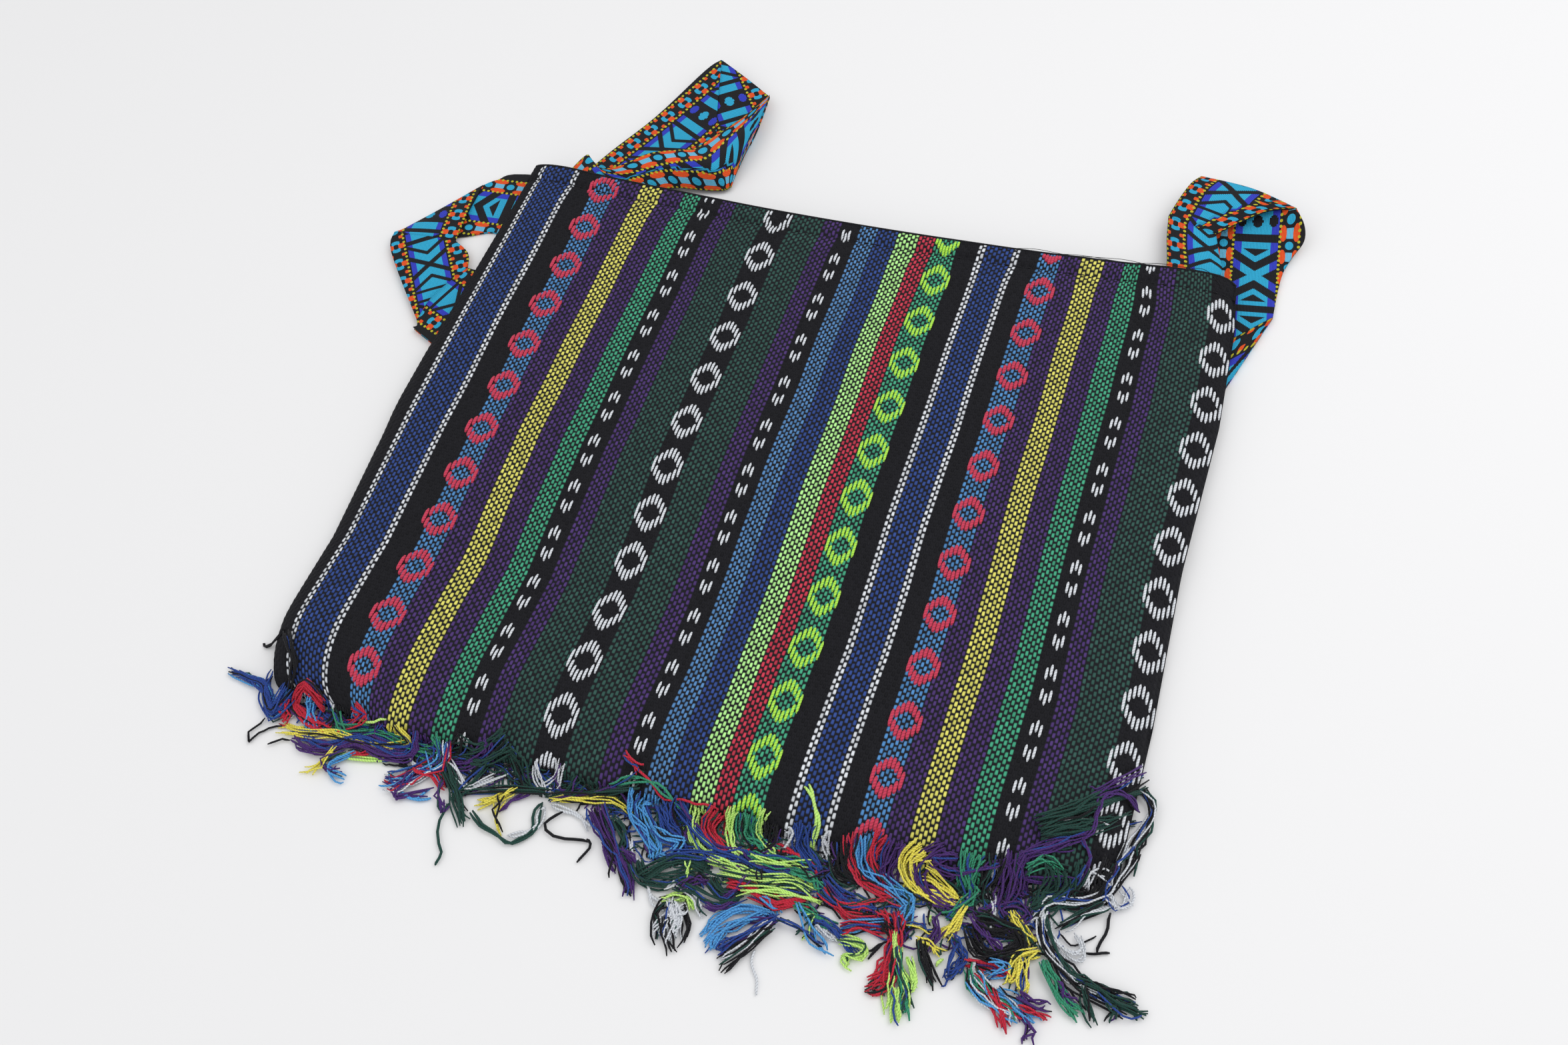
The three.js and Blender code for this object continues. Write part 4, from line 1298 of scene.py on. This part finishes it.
def lay_yarn(tubes, chance, places, lift, colour, thick=YARN, loose=LOOSE):
    """A yarn over the given places. It sinks towards its tip."""
    last = len(places) - 1
    path = []
    for index, (x, y) in enumerate(places):
        stray = loose * (0.4 + index / last)
        x, y = x + chance.gauss(0, stray), y + chance.gauss(0, stray)
        height = ground(x, y) + YARN_HEIGHT + lift * (1 - TIP_SINK * index / last)
        path.append(Vector((x, y, height)))
    steps = math.ceil(YARN_STEPS * last * chance.uniform(0.8, 1))
    smooth = [curve(path, step / YARN_STEPS) for step in range(steps + 1)]
    phase, rate, curl = chance.uniform(0, 6), chance.uniform(0.9, 1.9), chance.uniform(0.1, loose)
    for step, point in enumerate(smooth):
        point.x += curl * math.sin(phase + rate * step)
        point.y += curl * math.cos(2 * phase + rate * step)
        point.z += 0.4 * curl * (1 + math.sin(phase + 2 * rate * step))
    tubes.add(smooth, thick * chance.uniform(0.85, 1.15), colour, sides=4)


# Yarns laid for each one counted in a bunch, since every end is a pair of thinner ones, share of them that
# stray from the bunch's colours, and how far their order changes on the way
FULLNESS = 1.6
STRAY_SHARE = 0.22
CROSSED_SHARE = 0.55
TANGLE_COLOURS = ["pine", "navy", "black", "purple", "black", "pine", "navy"]


def bunch_yarns(tubes, chance, colours, count, start, tip, way):
    last = len(way) - 1
    single = count <= 2
    count = count if single else round(FULLNESS * count)
    order = list(range(count))
    chance.shuffle(order)
    for number in range(count):
        places = []
        for index, (x, y) in enumerate(way):
            before, after = way[max(index - 1, 0)], way[min(index + 1, last)]
            across = Vector((before[1] - after[1], after[0] - before[0])).normalized()
            crossed = CROSSED_SHARE * index / last
            share = ((1 - crossed) * number + crossed * order[number] + 0.5) / count - 0.5
            across *= share * (start + (tip - start) * index / last)
            places.append((x + across.x, y + across.y))
        stray = not single and chance.random() < STRAY_SHARE
        colour = chance.choice(TANGLE_COLOURS) if stray else colours[number % len(colours)]
        lift = chance.uniform(0.3, 1 if single else 3.4)
        lay_yarn(tubes, chance, places, lift, colour, COARSE_YARN if single else YARN)


def warp_ends(tubes, chance):
    """The ends of every stripe come out of the foot and turn down to the floor."""
    first = 0
    for colour, _, count in STRIPES:
        lean = chance.uniform(-4, 4)
        for end in range(first, first + count):
            across = end_place(end + 0.5)
            x, y = plan(across, foot(across))
            places = [(x, y + 0.8), (x, y - 0.8), (x + lean, y - chance.uniform(4, 9))]
            lay_yarn(tubes, chance, places, END_YARN, colour, END_YARN, LOOSE / 2)
        first += count


# How far the tangle under the bunches reaches down the plan at each place across, and the walk of its yarns
TANGLE = [
    (-140, -127), (-110, -131), (-75, -138), (-60, -131), (-25, -130), (0, -145), (60, -148), (105, -148),
    (140, -138),
]
TANGLE_YARNS = 480
TANGLE_START = -130
TANGLE_WIDTH = 265
TANGLE_POINTS = 3
TANGLE_TURN = 0.9
TANGLE_STRIDE = 5
TANGLE_DROP = 3.5


def tangle_yarns(tubes, chance):
    """Loose dark yarns that lie between the bunches and the floor."""
    for number in range(TANGLE_YARNS):
        x = TANGLE_START + TANGLE_WIDTH * (number + chance.random()) / TANGLE_YARNS
        top = plan(x, foot(x))[1] - 1
        deep = along(TANGLE, x)
        y = chance.uniform(deep + 4, top)
        turn = chance.uniform(0, 2 * math.pi)
        places = [(x, y)]
        for _ in range(TANGLE_POINTS):
            turn += chance.gauss(0, TANGLE_TURN)
            x += TANGLE_STRIDE * math.cos(turn)
            y = min(top, max(deep, y + TANGLE_DROP * math.sin(turn)))
            places.append((x, y))
        colour = TANGLE_COLOURS[number % len(TANGLE_COLOURS)]
        lay_yarn(tubes, chance, places, chance.uniform(0.1, 1.2), colour)


SEED = 7


def fringe_yarns(tubes):
    chance = random.Random(SEED)
    warp_ends(tubes, chance)
    tangle_yarns(tubes, chance)
    for colours, count, start, tip, way in BUNCHES:
        places = [(across, -FRINGE_LINE - below) for across, below in way]
        bunch_yarns(tubes, chance, colours.split(), count, start, tip, places)


def build_bag():
    front = cloth_object("front_cloth", True, weave_material("front_weave", STRIPES))
    back = cloth_object("back_cloth", False, weave_material("back_weave", STRIPES[::-1]))
    floats, stitches, fringe = Tubes(), Tubes(), Tubes()
    ring_floats(floats)
    mark_floats(floats)
    hem_stitches(stitches)
    loose_threads(stitches)
    mouth_edge(stitches)
    fringe_yarns(fringe)
    motif = floats.build("woven_floats", "float_", COLOURS)
    seam = stitches.build("hem_stitches", "float_", COLOURS)
    tassels = fringe.build("yarn_fringe", "yarn_", FRINGE_COLOURS)
    strap = strap_object(ribbon_front(), ribbon_back())
    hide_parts("front_panel")
    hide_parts("back_panel")
    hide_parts("strap")
    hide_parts(*[f"tassel_{number:02d}" for number in range(1, 16)])
    for piece, slot in ((front, "cloth"), (back, "cloth"), (motif, "cloth"), (seam, "cloth"),
                        (strap, "ribbon"), (tassels, "fringe")):
        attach(piece, "root")


# Stage in metres: floor, strength of the sky, and name, place, size and power of each light
FLOOR_COLOUR = srgb(243, 243, 244)
FLOOR_ROUGHNESS = 0.9
FLOOR_SIZE = 60
FLOOR_HEIGHT = -0.0002
SKY_STRENGTH = 0.72
LIGHTS = [
    ("key", (0.6, 0.3, 1.0), 0.9, 4.4),
    ("fill", (-0.7, -0.5, 1.1), 1.2, 1.9),
]


def build_floor():
    bpy.ops.mesh.primitive_plane_add(size=FLOOR_SIZE, location=(0, 0, FLOOR_HEIGHT))
    floor = bpy.context.object
    floor.name = "floor"
    paint = Paint("pale_floor", FLOOR_ROUGHNESS)
    paint.colour = FLOOR_COLOUR
    floor.data.materials.append(paint.done())


def build_sky():
    """White light, with a backdrop that shows in the shade of the far floor."""
    world = bpy.data.worlds.new("studio")
    bpy.context.scene.world = world
    world.use_nodes = True
    nodes, links = world.node_tree.nodes, world.node_tree.links
    seen = nodes.new("ShaderNodeMix")
    seen.data_type = "RGBA"
    seen.inputs[UNDER].default_value = (1, 1, 1, 1)
    seen.inputs[OVER].default_value = FLOOR_COLOUR
    links.new(nodes.new("ShaderNodeLightPath").outputs["Is Camera Ray"], seen.inputs[MASK])
    links.new(seen.outputs[MIXED], nodes["Background"].inputs["Color"])
    nodes["Background"].inputs["Strength"].default_value = SKY_STRENGTH


def build_lights():
    for name, place, size, power in LIGHTS:
        light = bpy.data.lights.new(name, "AREA")
        light.size, light.energy = size, power
        lamp = bpy.data.objects.new(name, light)
        lamp.location = place
        lamp.rotation_euler = (-Vector(place)).to_track_quat("-Z", "Y").to_euler()
        bpy.context.collection.objects.link(lamp)


# Camera, fitted to the woven rings: turns in radians, point that it looks at, distance in metres and lens
AZIMUTH = 0.480627
ELEVATION = 0.993649
TILT = -0.199973
TARGET = (11.53, -18.68, 11.1)
DISTANCE = 0.5779
SENSOR = 36
LENS = 38.27


def build_camera():
    level = math.cos(ELEVATION)
    back = Vector((math.sin(AZIMUTH) * level, -math.cos(AZIMUTH) * level, math.sin(ELEVATION)))
    right = Vector((0, 0, 1)).cross(back).normalized()
    up = back.cross(right)
    cos, sin = math.cos(TILT), math.sin(TILT)
    axes = Matrix((cos * right + sin * up, -sin * right + cos * up, back)).transposed().to_4x4()
    data = bpy.data.cameras.new("camera")
    data.sensor_width, data.lens = SENSOR, LENS
    camera = bpy.data.objects.new("camera", data)
    bpy.context.collection.objects.link(camera)
    camera.matrix_world = Matrix.Translation(metres(TARGET) + back * DISTANCE) @ axes
    bpy.context.scene.camera = camera


build_bag()
build_floor()
build_sky()
build_lights()
build_camera()
bpy.context.scene.view_settings.view_transform = "Standard"
